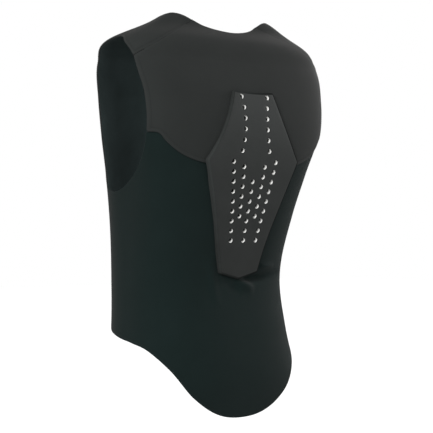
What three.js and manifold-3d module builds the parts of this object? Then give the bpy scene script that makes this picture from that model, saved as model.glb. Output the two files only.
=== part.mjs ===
// Protective vest: a close sleeveless vest with a padded shoulder yoke, a dropped tail and, over the spine,
// a long perforated plate with a blunt lower point. Millimetres, +Z up, +X is the wearer's left and +Y the
// wearer's back. The origin lies midway between the two points where the shoulder ridges meet the neck.

import * as THREE from "three";
import { mergeVertices } from "three/addons/utils/BufferGeometryUtils.js";
import Module from "manifold-3d";

// Level sections of the worn form, from the neck down. Each is a rounded oval: halfWidth to the side, at the
// depth sideY, with its back at backY and its front at frontY. squareBack and squareFront are the exponents
// of the oval's two halves, where 2 is an ellipse and more is squarer.
const SECTIONS = [
  { z: 2, halfWidth: 84, sideY: -2, backY: 7, frontY: -34, squareBack: 2.0, squareFront: 2.2 },
  { z: -7, halfWidth: 107.5, sideY: 1, backY: 14, frontY: -40, squareBack: 2.1, squareFront: 2.5 },
  { z: -22, halfWidth: 135, sideY: 4, backY: 20, frontY: -57.5, squareBack: 2.3, squareFront: 2.9 },
  { z: -48, halfWidth: 185.5, sideY: -5.5, backY: 50.5, frontY: -102, squareBack: 2.6, squareFront: 3.7 },
  { z: -85, halfWidth: 205.5, sideY: -10, backY: 64, frontY: -120, squareBack: 2.9, squareFront: 3.2 },
  { z: -140, halfWidth: 203.5, sideY: -13, backY: 80, frontY: -136, squareBack: 3.1, squareFront: 2.8 },
  { z: -200, halfWidth: 193, sideY: -19.5, backY: 87, frontY: -149, squareBack: 3.3, squareFront: 2.6 },
  { z: -260, halfWidth: 171.5, sideY: -37.5, backY: 79.5, frontY: -163, squareBack: 3.4, squareFront: 2.4 },
  { z: -330, halfWidth: 155, sideY: -53, backY: 65, frontY: -172, squareBack: 3.2, squareFront: 2.3 },
  { z: -435, halfWidth: 145.5, sideY: -62, backY: 43.5, frontY: -175, squareBack: 2.9, squareFront: 2.3 },
  { z: -520, halfWidth: 152, sideY: -54.5, backY: 58, frontY: -169, squareBack: 2.7, squareFront: 2.3 },
  { z: -590, halfWidth: 166.5, sideY: -45.5, backY: 68, frontY: -164, squareBack: 2.6, squareFront: 2.3 },
  { z: -665, halfWidth: 179, sideY: -37.5, backY: 56, frontY: -160, squareBack: 2.6, squareFront: 2.3 },
];

// Edges and seams of the left half, drawn on the worn form. phi is the angle round the body in degrees:
// 90 at the spine, 0 at the left side and -90 at the middle of the front. NECK and HEM start one row beyond
// the spine, so that they cross it level.
const ARMHOLE = [
  { phi: -14, z: -46 },
  { phi: 14, z: -62 },
  { phi: 27.5, z: -83, name: "shoulder" },
  { phi: 32.5, z: -116 },
  { phi: 34, z: -160 },
  { phi: 32, z: -201, name: "yoke" },
  { phi: 25.5, z: -238 },
  { phi: 13.5, z: -269 },
  { phi: -5, z: -290 },
  { phi: -22, z: -289 },
  { phi: -33, z: -275, name: "side" },
  { phi: -38.5, z: -240 },
  { phi: -41, z: -195 },
  { phi: -39.5, z: -140 },
  { phi: -39, z: -95 },
  { phi: -34, z: -61 },
];
const NECK = [
  { phi: 100, z: -30 },
  { phi: 90, z: -32.5 },
  { phi: 80, z: -30 },
  { phi: 70, z: -24.5 },
  { phi: 57.5, z: -15.5 },
  { phi: 41, z: -8 },
  { phi: 20, z: -5 },
  { phi: -5, z: -6.5 },
  { phi: -30, z: -13.5 },
  { phi: -55, z: -40 },
  { phi: -75, z: -70 },
  { phi: -90, z: -80 },
];
const SHOULDER_SEAM = [
  { phi: 27.5, z: -83 },
  { phi: 41.5, z: -63 },
  { phi: 49.5, z: -41 },
  { phi: 57.5, z: -15.5 },
];
const YOKE_SEAM = [
  { phi: 32, z: -201 },
  { phi: 39.5, z: -203 },
  { phi: 43, z: -216.5 },
  { phi: 49, z: -233 },
  { phi: 56, z: -243.5 },
  { phi: 63, z: -248 },
  { phi: 76, z: -250 },
  { phi: 90, z: -250 },
];
const HEM = [
  { phi: 106, z: -648.5 },
  { phi: 90, z: -656.5 },
  { phi: 74, z: -648.5 },
  { phi: 58, z: -619 },
  { phi: 42, z: -573 },
  { phi: 26, z: -544.7 },
  { phi: 10, z: -534.5 },
  { phi: -6, z: -528.7 },
  { phi: -22, z: -521.5 },
  { phi: -36, z: -515 },
  { phi: -63, z: -511 },
  { phi: -90, z: -510 },
];
const NECK_AT_SEAM = 4;
const ROW_AT_SPINE = 1;
const HEM_AT_SIDE = 9;

// Cloth: the wall hangs inwards from the worn form, and the yoke's padding stands out from it
const SEAM_GAP = 0.6;
const CLOTH_WALL = 2.5;
const YOKE_PAD = 3;
const YOKE_PAD_AT_NECK = 0.8;
const YOKE_PAD_FULL_AT = 0.625;
const ZIP_HALF_WIDTH = 5;
const ZIP_PROUD = 1.2;

// Folds of the stretch cloth below the plate: a crease, of negative height, and a ridge. Each runs from the
// place x, z of the back to the place toX, toZ, and is a bell of the widths above and below across its line.
const FOLDS = [
  { x: -4, z: -427, toX: -104, toZ: -424, height: -6, above: 8.5, below: 5 },
  { x: 0, z: -434.5, toX: -46, toZ: -455.5, height: 4.2, above: 5, below: 8 },
];
const FOLD_TAPER = 0.7;

// Facets along each stretch of edge. Pieces that share a seam share its points.
const SHOULDER_STEPS = 7;
const NECK_BACK_STEPS = 12;
const YOKE_ROWS = 9;
const UNDERARM_STEPS = 7;
const SIDE_STEPS = 11;
const FRONT_COLUMNS = SHOULDER_STEPS;
const FRONT_ARM_STEPS = 14;
const FRONT_NECK_STEPS = 12;
const CURVE_SAMPLES = 160;

// The lower body's rows, as shares of the way down it: even, and closer over the folds
const LOWER_ROWS = [
  0, 0.09, 0.18, 0.27, 0.35, 0.395, 0.418, 0.439, 0.459, 0.48, 0.503, 0.55, 0.63, 0.72, 0.81, 0.9, 1,
];

// Spine plate: outline half-widths, the line of its outer face down the spine, and its layers
const PLATE_TOP = -134;
const PLATE_WIDEST = -243;
const PLATE_BOTTOM = -423.5;
const PLATE_TIP = 10;
const PLATE_TIP_BEND = 6;
const PLATE_HALF_TOP = 42;
const PLATE_HALF_WIDEST = 96;
const PLATE_HALF_BOTTOM = 39.5;
const PLATE_UPPER_HOLLOW = 5;
const PLATE_LOWER_HOLLOW = 3;
const PLATE_SAG = 1.5;
const PLATE_EDGE_DROP = 2.2;
const PLATE_EDGE_WIDTH = 2.6;
const PLATE_SKIN = 1.1;
const PLATE_GAP = 0.3;
const PLATE_CLEARANCE = 0.8;
const PLATE_END_LIFT = 1.2;
const PLATE_END_LENGTH = 45;
const PLATE_UPPER_ROWS = 5;
const PLATE_LOWER_ROWS = 8;
const PLATE_COLUMNS = [1, 0.7, 0.35, 0, -0.35, -0.7, -1];
const YOKE_STEP_START = 4;
const YOKE_STEP_LENGTH = 30;
const PLATE_FACE = [
  { z: -120, y: 84 },
  { z: -141, y: 89 },
  { z: -176, y: 94 },
  { z: -211, y: 94.5 },
  { z: -245, y: 90.5 },
  { z: -309, y: 76.5 },
  { z: -371, y: 61 },
  { z: -425, y: 51.5 },
  { z: -436, y: 49.8 },
];

// Holes through the plate: two bowed columns above, then outer, inner and middle columns below
const HOLE_RADIUS = 3.8;
const HOLE_SIDES = 6;
const UPPER_HOLES = { count: 6, top: -141, pitch: 17.3, least: 23.2, bow: 0.75, waist: 2.3 };
const OUTER_HOLES = { count: 9, top: -245, pitch: 15.7, half: 44.7, taper: 2.28 };
const INNER_HOLES = { count: 6, top: -252.9, pitch: 15.7, half: 22, taper: 1.1 };
const MIDDLE_HOLES = { count: 7, top: -276.4, pitch: 15.7 };
const CUTTER_LENGTH = 40;
const CUTTER_BELOW_CLOTH = 12;

const YOKE_COLOUR = 0x34373a;
const CLOTH_COLOUR = 0x22282b;
const SKIN_COLOUR = 0x363939;
const FOAM_COLOUR = 0xe6e6e2;
const ZIP_COLOUR = 0x191b1c;
const CLOTH_ROUGHNESS = 0.8;
const SKIN_ROUGHNESS = 0.55;
const FOAM_ROUGHNESS = 0.9;
const ZIP_ROUGHNESS = 0.5;

const wasm = await Module();
wasm.setup();

// Cubic through a table's rows, whose first column falls, with slopes averaged from the spans beside a row
function tableValue(rows, column, z) {
  const last = rows.length - 1;
  const slope = (i) => (rows[i + 1][column] - rows[i][column]) / (rows[i + 1].z - rows[i].z);
  const tangent = (i) => {
    if (i === 0) return slope(0);
    if (i === last) return slope(last - 1);
    const above = rows[i].z - rows[i - 1].z;
    const below = rows[i + 1].z - rows[i].z;
    return (below * slope(i - 1) + above * slope(i)) / (above + below);
  };
  let i = 0;
  while (i < last - 1 && rows[i + 1].z > z) i += 1;
  const span = rows[i + 1].z - rows[i].z;
  const t = (z - rows[i].z) / span;
  const start = (1 + 2 * t) * (1 - t) ** 2 * rows[i][column] + t * (1 - t) ** 2 * span * tangent(i);
  const end = t * t * (3 - 2 * t) * rows[i + 1][column] + t * t * (t - 1) * span * tangent(i + 1);
  return start + end;
}

// Point of the worn form at the angle phi and height z
function bodyPoint(phi, z) {
  const angle = THREE.MathUtils.degToRad(phi);
  const across = Math.cos(angle);
  const along = Math.sin(angle);
  const atBack = along >= 0;
  const square = tableValue(SECTIONS, atBack ? "squareBack" : "squareFront", z);
  const reach = (Math.abs(across) ** square + Math.abs(along) ** square) ** (-1 / square);
  const sideY = tableValue(SECTIONS, "sideY", z);
  const depth = Math.abs(tableValue(SECTIONS, atBack ? "backY" : "frontY", z) - sideY);
  return new THREE.Vector3(
    tableValue(SECTIONS, "halfWidth", z) * reach * across,
    sideY + depth * reach * along,
    z,
  );
}

// Outward direction of the worn form there
function bodyNormal(phi, z) {
  const stepPhi = 0.05;
  const stepZ = 0.1;
  const round = bodyPoint(phi + stepPhi, z).sub(bodyPoint(phi - stepPhi, z));
  const up = bodyPoint(phi, z + stepZ).sub(bodyPoint(phi, z - stepZ));
  return round.cross(up).normalize();
}

// Depth y of the worn back at the place x, z
function backDepth(x, z) {
  const square = tableValue(SECTIONS, "squareBack", z);
  const sideY = tableValue(SECTIONS, "sideY", z);
  const share = Math.abs(x) / tableValue(SECTIONS, "halfWidth", z);
  return sideY + (tableValue(SECTIONS, "backY", z) - sideY) * (1 - share ** square) ** (1 / square);
}

const smooth = (t) => THREE.MathUtils.smoothstep(t, 0, 1);

// Edge curves in the plane of phi and z
const toVectors = (rows) => rows.map((row) => new THREE.Vector3(row.phi, row.z, 0));
const armholeCurve = new THREE.CatmullRomCurve3(toVectors(ARMHOLE), true, "catmullrom");
const openCurve = (rows) => new THREE.CatmullRomCurve3(toVectors(rows), false, "catmullrom");
const neckCurve = openCurve(NECK);
const hemCurve = openCurve(HEM);
const shoulderCurve = openCurve(SHOULDER_SEAM);
const yokeCurve = openCurve(YOKE_SEAM);

// Points along part of an edge curve, at equal distances on the body
function evenPoints(curve, from, to, steps) {
  const places = [];
  const lengths = [0];
  for (let i = 0; i <= CURVE_SAMPLES; i += 1) {
    const t = from + ((to - from) * i) / CURVE_SAMPLES;
    const { x: phi, y: z } = curve.getPoint(t > 1 ? t - 1 : t);
    places.push({ phi, z, at: bodyPoint(phi, z) });
    if (i > 0) lengths.push(lengths[i - 1] + places[i].at.distanceTo(places[i - 1].at));
  }
  const points = [];
  let i = 0;
  for (let step = 0; step <= steps; step += 1) {
    const wanted = (lengths[CURVE_SAMPLES] * step) / steps;
    while (i < CURVE_SAMPLES - 1 && lengths[i + 1] < wanted) i += 1;
    const share = (wanted - lengths[i]) / (lengths[i + 1] - lengths[i]);
    points.push({
      phi: THREE.MathUtils.lerp(places[i].phi, places[i + 1].phi, share),
      z: THREE.MathUtils.lerp(places[i].z, places[i + 1].z, share),
    });
  }
  return points;
}

const armholeAt = (name) => ARMHOLE.findIndex((row) => row.name === name) / ARMHOLE.length;
const mirrored = (points) => points.map(({ phi, z }) => ({ phi: 180 - phi, z })).reverse();
const joined = (...stretches) => stretches.flatMap((points, i) => (i === 0 ? points : points.slice(1)));

// The shared edges of the left half
const neckAtSpine = ROW_AT_SPINE / (NECK.length - 1);
const neckAtSeam = NECK_AT_SEAM / (NECK.length - 1);
const hemAtSpine = ROW_AT_SPINE / (HEM.length - 1);
const hemAtSide = HEM_AT_SIDE / (HEM.length - 1);
const armholeBack = evenPoints(armholeCurve, armholeAt("shoulder"), armholeAt("yoke"), YOKE_ROWS);
const armholeUnder = evenPoints(armholeCurve, armholeAt("yoke"), armholeAt("side"), UNDERARM_STEPS);
const armholeFront = evenPoints(armholeCurve, armholeAt("side"), 1 + armholeAt("shoulder"), FRONT_ARM_STEPS);
const shoulderSeam = evenPoints(shoulderCurve, 0, 1, SHOULDER_STEPS);
const neckBack = evenPoints(neckCurve, neckAtSeam, neckAtSpine, NECK_BACK_STEPS / 2);
const neckFront = evenPoints(neckCurve, neckAtSeam, 1, FRONT_NECK_STEPS);
const yokeColumns = 2 * SHOULDER_STEPS + NECK_BACK_STEPS;
const yokeSeam = evenPoints(yokeCurve, 0, 1, yokeColumns / 2);
const lowerColumns = yokeColumns + 2 * UNDERARM_STEPS;
const hemBack = evenPoints(hemCurve, hemAtSide, hemAtSpine, lowerColumns / 2);
const hemFront = evenPoints(hemCurve, 1, hemAtSide, FRONT_COLUMNS);

// Straight line in phi and z, at the given shares of the way
function straightEdge(start, end, shares) {
  return shares.map((share) => ({
    phi: THREE.MathUtils.lerp(start.phi, end.phi, share),
    z: THREE.MathUtils.lerp(start.z, end.z, share),
  }));
}
const evenShares = (steps) => Array.from({ length: steps + 1 }, (_, i) => i / steps);
const sideSeam = (shares) => straightEdge(armholeUnder[UNDERARM_STEPS], hemBack[0], shares);

// Angle of the front opening's edge, half a zip from the middle
function openingPhi(z) {
  return -90 + THREE.MathUtils.radToDeg(Math.asin(ZIP_HALF_WIDTH / tableValue(SECTIONS, "halfWidth", z)));
}

// Grid of places between four edges: a Coons patch in phi and z, whose rows lie at the shares down
function patch(top, bottom, left, right, down = evenShares(left.length - 1)) {
  const columns = top.length - 1;
  return down.map((v, j) => top.map((_, i) => {
    const u = i / columns;
    const mix = (key) => (1 - v) * top[i][key] + v * bottom[i][key]
      + (1 - u) * left[j][key] + u * right[j][key]
      - (1 - v) * ((1 - u) * top[0][key] + u * top[columns][key])
      - v * ((1 - u) * bottom[0][key] + u * bottom[columns][key]);
    return { phi: mix("phi"), z: mix("z") };
  }));
}

function geometryFrom(positions, triangles) {
  const geometry = new THREE.BufferGeometry();
  geometry.setAttribute("position", new THREE.Float32BufferAttribute(positions, 3));
  geometry.setIndex(triangles);
  return geometry;
}

// Closed solid between two grids of points of the same size, the outer one seen from outside
function solidBetween(outer, inner) {
  const rows = outer.length - 1;
  const columns = outer[0].length - 1;
  const positions = [outer, inner].flat(2).flatMap((point) => point.toArray());
  const layer = (rows + 1) * (columns + 1);
  const at = (side, j, i) => side * layer + j * (columns + 1) + i;
  const triangles = [];
  const quad = (a, b, c, d) => triangles.push(a, b, c, a, c, d);
  for (let j = 0; j < rows; j += 1) {
    for (let i = 0; i < columns; i += 1) {
      quad(at(0, j, i), at(0, j + 1, i), at(0, j + 1, i + 1), at(0, j, i + 1));
      quad(at(1, j, i), at(1, j, i + 1), at(1, j + 1, i + 1), at(1, j + 1, i));
    }
  }
  for (let i = 0; i < columns; i += 1) {
    quad(at(0, 0, i), at(0, 0, i + 1), at(1, 0, i + 1), at(1, 0, i));
    quad(at(0, rows, i), at(1, rows, i), at(1, rows, i + 1), at(0, rows, i + 1));
  }
  for (let j = 0; j < rows; j += 1) {
    quad(at(0, j, 0), at(1, j, 0), at(1, j + 1, 0), at(0, j + 1, 0));
    quad(at(0, j, columns), at(0, j + 1, columns), at(1, j + 1, columns), at(1, j, columns));
  }
  return geometryFrom(positions, triangles);
}

// Height of the folds at a point of the back
function foldHeight(point) {
  if (point.y < 0) return 0;
  let total = 0;
  for (const fold of FOLDS) {
    const run = { x: fold.toX - fold.x, z: fold.toZ - fold.z };
    const along = ((point.x - fold.x) * run.x + (point.z - fold.z) * run.z) / (run.x ** 2 + run.z ** 2);
    const t = THREE.MathUtils.clamp(along, 0, 1);
    const offX = point.x - fold.x - t * run.x;
    const offZ = point.z - fold.z - t * run.z;
    const distance = Math.hypot(offX, offZ) / (offZ > 0 ? fold.above : fold.below);
    total += fold.height * (4 * t * (1 - t)) ** FOLD_TAPER * Math.exp(-(distance ** 2));
  }
  return total;
}

// Cloth wall over a grid of places: its edges are drawn in by half a seam gap, its outer side stands off the
// worn form by proud, its inner side lies a wall's thickness inside the form, and folds move both
function clothPanel(places, proud, folds) {
  const rows = places.length - 1;
  const columns = places[0].length - 1;
  const surface = places.map((row) => row.map(({ phi, z }) => bodyPoint(phi, z)));
  const inwards = (k, last) => (k === 0 ? 1 : k === last ? last - 1 : k);
  const along = (j, i) => {
    const atRowEnd = i === 0 || i === columns;
    const before = atRowEnd ? surface[Math.max(j - 1, 0)][i] : surface[j][i - 1];
    const after = atRowEnd ? surface[Math.min(j + 1, rows)][i] : surface[j][i + 1];
    return after.clone().sub(before).normalize();
  };
  const drawn = surface.map((row, j) => row.map((point, i) => {
    const pull = surface[inwards(j, rows)][inwards(i, columns)].clone().sub(point);
    if (pull.lengthSq() === 0) return point;
    const corner = (j === 0 || j === rows) && (i === 0 || i === columns);
    if (!corner) pull.addScaledVector(along(j, i), -pull.dot(along(j, i)));
    return point.clone().add(pull.setLength(corner ? SEAM_GAP : SEAM_GAP / 2));
  }));
  const wall = (offset) => drawn.map((row, j) => row.map((point, i) => {
    const { phi, z } = places[j][i];
    return point.clone().addScaledVector(bodyNormal(phi, z), offset(j / rows) + folds(point));
  }));
  return solidBetween(wall(proud), wall(() => -CLOTH_WALL));
}

// The yoke's padding grows from the neck down to its lower seam
const yokePad = (v) => THREE.MathUtils.lerp(YOKE_PAD_AT_NECK, YOKE_PAD, smooth(v / YOKE_PAD_FULL_AT));

const yokePlaces = patch(
  joined(shoulderSeam, neckBack, mirrored(neckBack), mirrored(shoulderSeam)),
  joined(yokeSeam, mirrored(yokeSeam)),
  armholeBack,
  mirrored(armholeBack).reverse(),
);

const lowerPlaces = patch(
  joined([...armholeUnder].reverse(), yokeSeam, mirrored(yokeSeam), mirrored([...armholeUnder].reverse())),
  joined(hemBack, mirrored(hemBack)),
  sideSeam(LOWER_ROWS),
  mirrored(sideSeam(LOWER_ROWS)).reverse(),
  LOWER_ROWS,
);

const frontRows = FRONT_ARM_STEPS + SIDE_STEPS;
const openingTop = NECK[NECK.length - 1].z;
const openingBottom = HEM[HEM.length - 1].z;
const openingEdge = straightEdge(
  { phi: -90, z: openingTop },
  { phi: -90, z: openingBottom },
  evenShares(frontRows - FRONT_NECK_STEPS),
).map(({ z }) => ({ phi: openingPhi(z), z }));
const frontPlaces = patch(
  [...shoulderSeam].reverse(),
  [openingEdge[openingEdge.length - 1], ...hemFront.slice(1)],
  [...neckFront.slice(0, -1), ...openingEdge],
  joined([...armholeFront].reverse(), sideSeam(evenShares(SIDE_STEPS))),
);
const frontRightPlaces = frontPlaces.map((row) => mirrored(row));

const zipPlaces = openingEdge.map(({ phi, z }) => [{ phi: -180 - phi, z }, { phi: -90, z }, { phi, z }]);

// Half-width of the plate's outline at the height z: two hollow flanks that meet at the widest line
function plateHalfWidth(z) {
  const upper = z > PLATE_WIDEST;
  const [end, half, hollow] = upper
    ? [PLATE_TOP, PLATE_HALF_TOP, PLATE_UPPER_HOLLOW]
    : [PLATE_BOTTOM, PLATE_HALF_BOTTOM, PLATE_LOWER_HOLLOW];
  const t = (z - PLATE_WIDEST) / (end - PLATE_WIDEST);
  return THREE.MathUtils.lerp(PLATE_HALF_WIDEST, half, t) - 4 * hollow * t * (1 - t);
}

// Outer face of the plate, nearly flat across, and the outside of the cloth that it lies on
const plateFace = (x, z) => tableValue(PLATE_FACE, "y", z) - PLATE_SAG * (x / PLATE_HALF_WIDEST) ** 2;
function clothFace(x, z) {
  const step = 0.5;
  const slopeX = (backDepth(x + step, z) - backDepth(x - step, z)) / (2 * step);
  const slopeZ = (backDepth(x, z + step) - backDepth(x, z - step)) / (2 * step);
  const yokeEnd = YOKE_SEAM[YOKE_SEAM.length - 1].z;
  const lift = YOKE_PAD * (1 - smooth((yokeEnd - YOKE_STEP_START - z) / YOKE_STEP_LENGTH));
  const endLift = PLATE_END_LIFT * smooth((PLATE_BOTTOM + PLATE_END_LENGTH - z) / PLATE_END_LENGTH);
  return backDepth(x, z) + lift * Math.hypot(1, slopeX, slopeZ) + endLift;
}

// How far a row of the plate bends down at a share of its half-width: most in the middle of the lower edge,
// which is a blunt point, and less in each row above it
function plateDip(share, z) {
  const down = Math.max(0, (PLATE_WIDEST - z) / (PLATE_WIDEST - PLATE_BOTTOM));
  return PLATE_TIP * (1 - Math.abs(share)) * down ** PLATE_TIP_BEND;
}

// Slab with the plate's outline drawn in by inset, whose outer side lies below the plate's face by depth, and
// whose edge falls away. Its base is the cloth, at the distance clear.
function plateSlab(inset, depth, clear) {
  const top = PLATE_TOP - inset;
  const bottom = PLATE_BOTTOM + inset;
  const spread = (from, to, steps) => evenShares(steps).map((share) => THREE.MathUtils.lerp(from, to, share));
  const heights = [
    top,
    ...spread(top - PLATE_EDGE_WIDTH, PLATE_WIDEST, PLATE_UPPER_ROWS),
    ...spread(PLATE_WIDEST, bottom + PLATE_EDGE_WIDTH, PLATE_LOWER_ROWS).slice(1),
    bottom,
  ];
  const rows = heights.map((z, j) => {
    const half = plateHalfWidth(z) - inset;
    const level = PLATE_COLUMNS.map((share) => share * (half - PLATE_EDGE_WIDTH));
    return [half, ...level, -half].map((x, i) => {
      const atEdge = j === 0 || j === heights.length - 1 || i === 0 || i === level.length + 1;
      return { x, z: z - plateDip(x / half, z), drop: atEdge ? PLATE_EDGE_DROP : 0 };
    });
  });
  const face = rows.map((row) => row.map(({ x, z, drop }) => {
    return new THREE.Vector3(x, plateFace(x, z) - depth - drop, z);
  }));
  const base = rows.map((row) => row.map(({ x, z }) => new THREE.Vector3(x, clothFace(x, z) + clear, z)));
  return solidBetween(face, base);
}

// Solids for cutting, and back to a geometry
function toManifold(geometry) {
  const bare = geometry.clone();
  bare.deleteAttribute("normal");
  bare.deleteAttribute("uv");
  const merged = mergeVertices(bare, 1e-4);
  return new wasm.Manifold(new wasm.Mesh({
    numProp: 3,
    vertProperties: new Float32Array(merged.attributes.position.array),
    triVerts: new Uint32Array(merged.index.array),
  }));
}

function fromManifold(solid) {
  const mesh = solid.getMesh();
  return geometryFrom(Array.from(mesh.vertProperties), Array.from(mesh.triVerts));
}

// Centres of the plate's holes, as places x, z
function holeCentres() {
  const centres = [];
  const pair = (half, z) => centres.push({ x: half, z }, { x: -half, z });
  for (let i = 0; i < UPPER_HOLES.count; i += 1) {
    const half = UPPER_HOLES.least + UPPER_HOLES.bow * (i - UPPER_HOLES.waist) ** 2;
    pair(half, UPPER_HOLES.top - i * UPPER_HOLES.pitch);
  }
  for (const column of [OUTER_HOLES, INNER_HOLES]) {
    for (let i = 0; i < column.count; i += 1) {
      pair(column.half - i * column.taper, column.top - i * column.pitch);
    }
  }
  for (let i = 0; i < MIDDLE_HOLES.count; i += 1) {
    centres.push({ x: 0, z: MIDDLE_HOLES.top - i * MIDDLE_HOLES.pitch });
  }
  return centres;
}

// One cutter for every hole: short prisms square to the plate's face
function holeCutters() {
  const step = 1;
  const prisms = holeCentres().map(({ x, z }) => {
    const slope = (plateFace(x, z + step) - plateFace(x, z - step)) / (2 * step);
    const prism = new THREE.CylinderGeometry(HOLE_RADIUS, HOLE_RADIUS, CUTTER_LENGTH, HOLE_SIDES);
    prism.rotateX(-Math.atan(slope));
    prism.translate(x, plateFace(x, z), z);
    return toManifold(prism);
  });
  return wasm.Manifold.union(prisms);
}

const holes = holeCutters();
const skinHollow = toManifold(plateSlab(PLATE_SKIN, PLATE_SKIN, -CUTTER_BELOW_CLOTH));
const skinSolid = toManifold(plateSlab(0, 0, PLATE_CLEARANCE)).subtract(skinHollow).subtract(holes);
const coreInset = PLATE_SKIN + PLATE_GAP;
const coreSolid = toManifold(plateSlab(coreInset, coreInset, PLATE_CLEARANCE)).subtract(holes);

function piece(name, geometry, color, roughness) {
  const material = new THREE.MeshStandardMaterial({ color, roughness, metalness: 0 });
  const mesh = new THREE.Mesh(geometry, material);
  mesh.name = name;
  return mesh;
}

const flush = () => 0;
const unfolded = () => 0;
const vest = new THREE.Group();
vest.add(
  piece("upper_back", clothPanel(yokePlaces, yokePad, unfolded), YOKE_COLOUR, CLOTH_ROUGHNESS),
  piece("lower_body", clothPanel(lowerPlaces, flush, foldHeight), CLOTH_COLOUR, CLOTH_ROUGHNESS),
  piece("front_left", clothPanel(frontPlaces, flush, unfolded), YOKE_COLOUR, CLOTH_ROUGHNESS),
  piece("front_right", clothPanel(frontRightPlaces, flush, unfolded), YOKE_COLOUR, CLOTH_ROUGHNESS),
  piece("front_zip", clothPanel(zipPlaces, () => ZIP_PROUD, unfolded), ZIP_COLOUR, ZIP_ROUGHNESS),
  piece("plate_core", fromManifold(coreSolid), FOAM_COLOUR, FOAM_ROUGHNESS),
  piece("plate_skin", fromManifold(skinSolid), SKIN_COLOUR, SKIN_ROUGHNESS),
);

export default vest;
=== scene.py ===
"""A close back-protector vest: padded yoke, stretch body, perforated spine plate and front zip.

Metres, +Z up, +X the wearer's left, +Y the wearer's back. The origin lies between the neck points.
"""
import logging
import math
from collections.abc import Callable
from dataclasses import dataclass
from enum import Enum
from typing import NamedTuple

import bmesh
import bpy
import numpy as np
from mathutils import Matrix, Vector
from mathutils.geometry import delaunay_2d_cdt


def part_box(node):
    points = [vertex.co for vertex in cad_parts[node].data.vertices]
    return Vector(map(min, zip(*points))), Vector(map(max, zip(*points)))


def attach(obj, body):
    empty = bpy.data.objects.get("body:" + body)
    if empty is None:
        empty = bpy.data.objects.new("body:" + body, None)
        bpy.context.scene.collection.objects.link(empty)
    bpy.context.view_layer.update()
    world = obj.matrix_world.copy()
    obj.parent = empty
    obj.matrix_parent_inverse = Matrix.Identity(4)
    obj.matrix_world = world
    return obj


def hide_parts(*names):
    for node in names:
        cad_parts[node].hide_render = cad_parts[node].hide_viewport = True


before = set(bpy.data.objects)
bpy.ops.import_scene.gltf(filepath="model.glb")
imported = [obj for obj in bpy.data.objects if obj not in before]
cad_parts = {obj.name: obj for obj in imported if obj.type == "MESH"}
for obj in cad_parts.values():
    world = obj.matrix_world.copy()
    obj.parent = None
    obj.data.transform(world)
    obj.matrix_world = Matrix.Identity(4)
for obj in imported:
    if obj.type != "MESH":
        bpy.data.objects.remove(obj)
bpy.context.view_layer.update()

Array = np.ndarray
Colour = tuple[float, float, float, float]
Rows = tuple[tuple[float, float], ...]
Depth = Callable[[Array, Array], Array]
Ring = tuple[Array, Array]
log = logging.getLogger("vest")

BODY = "root"
WELD = 1e-6


class Section(NamedTuple):
    """A level section of the worn form: half-width, depths, and the squareness of its two halves."""

    z: float
    half_width: float
    side_y: float
    back_y: float
    front_y: float
    square_back: float
    square_front: float


SECTIONS = (
    Section(0.002, 0.0840, -0.0020, 0.0070, -0.0340, 2.0, 2.2),
    Section(-0.007, 0.1075, 0.0010, 0.0140, -0.0400, 2.1, 2.5),
    Section(-0.022, 0.1350, 0.0040, 0.0200, -0.0575, 2.3, 2.9),
    Section(-0.048, 0.1855, -0.0055, 0.0505, -0.1020, 2.6, 3.7),
    Section(-0.085, 0.2055, -0.0100, 0.0640, -0.1200, 2.9, 3.2),
    Section(-0.140, 0.2035, -0.0130, 0.0800, -0.1360, 3.1, 2.8),
    Section(-0.200, 0.1930, -0.0195, 0.0870, -0.1490, 3.3, 2.6),
    Section(-0.260, 0.1715, -0.0375, 0.0795, -0.163, 3.4, 2.4),
    Section(-0.330, 0.1550, -0.0530, 0.0650, -0.172, 3.2, 2.3),
    Section(-0.435, 0.1455, -0.0620, 0.0435, -0.175, 2.9, 2.3),
    Section(-0.520, 0.1520, -0.0545, 0.0580, -0.169, 2.7, 2.3),
    Section(-0.590, 0.1665, -0.0455, 0.0680, -0.164, 2.6, 2.3),
    Section(-0.665, 0.1790, -0.0375, 0.0560, -0.160, 2.6, 2.3),
)

# Places on the worn form are rows of phi and z. phi is the angle round the body in degrees: 90 at the spine,
# 0 at the left side and -90 at the middle of the front. The neck and the hem start one row beyond the spine,
# so that they cross it level.
ARMHOLE_ROWS = (
    (-14, -0.046), (14, -0.062), (27.5, -0.083), (32.5, -0.116), (34, -0.160), (32, -0.201),
    (25.5, -0.238), (13.5, -0.269), (-5, -0.290), (-22, -0.289), (-33, -0.275), (-38.5, -0.240),
    (-41, -0.195), (-39.5, -0.140), (-39, -0.095), (-34, -0.061),
)
ARMHOLE_AT_SHOULDER = 2
ARMHOLE_AT_YOKE = 5
ARMHOLE_AT_SIDE = 10
NECK_ROWS = (
    (100, -0.030), (90, -0.0325), (80, -0.030), (70, -0.0245), (57.5, -0.0155), (41, -0.008), (20, -0.005),
    (-5, -0.0065), (-30, -0.0135), (-55, -0.040), (-75, -0.070), (-90, -0.080),
)
NECK_AT_SEAM = 4
SHOULDER_ROWS = ((27.5, -0.083), (41.5, -0.063), (49.5, -0.041), (57.5, -0.0155))
YOKE_ROWS = (
    (32, -0.201), (39.5, -0.203), (43, -0.2165), (49, -0.233), (56, -0.2435), (63, -0.248),
    (76, -0.250), (90, -0.250),
)
HEM_ROWS = (
    (106, -0.6485), (90, -0.6565), (74, -0.6485), (58, -0.619), (42, -0.573), (26, -0.5447),
    (10, -0.5345), (-6, -0.5287), (-22, -0.5215), (-36, -0.515), (-63, -0.511), (-90, -0.510),
)
HEM_AT_SIDE = 9
ROW_AT_SPINE = 1

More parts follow.
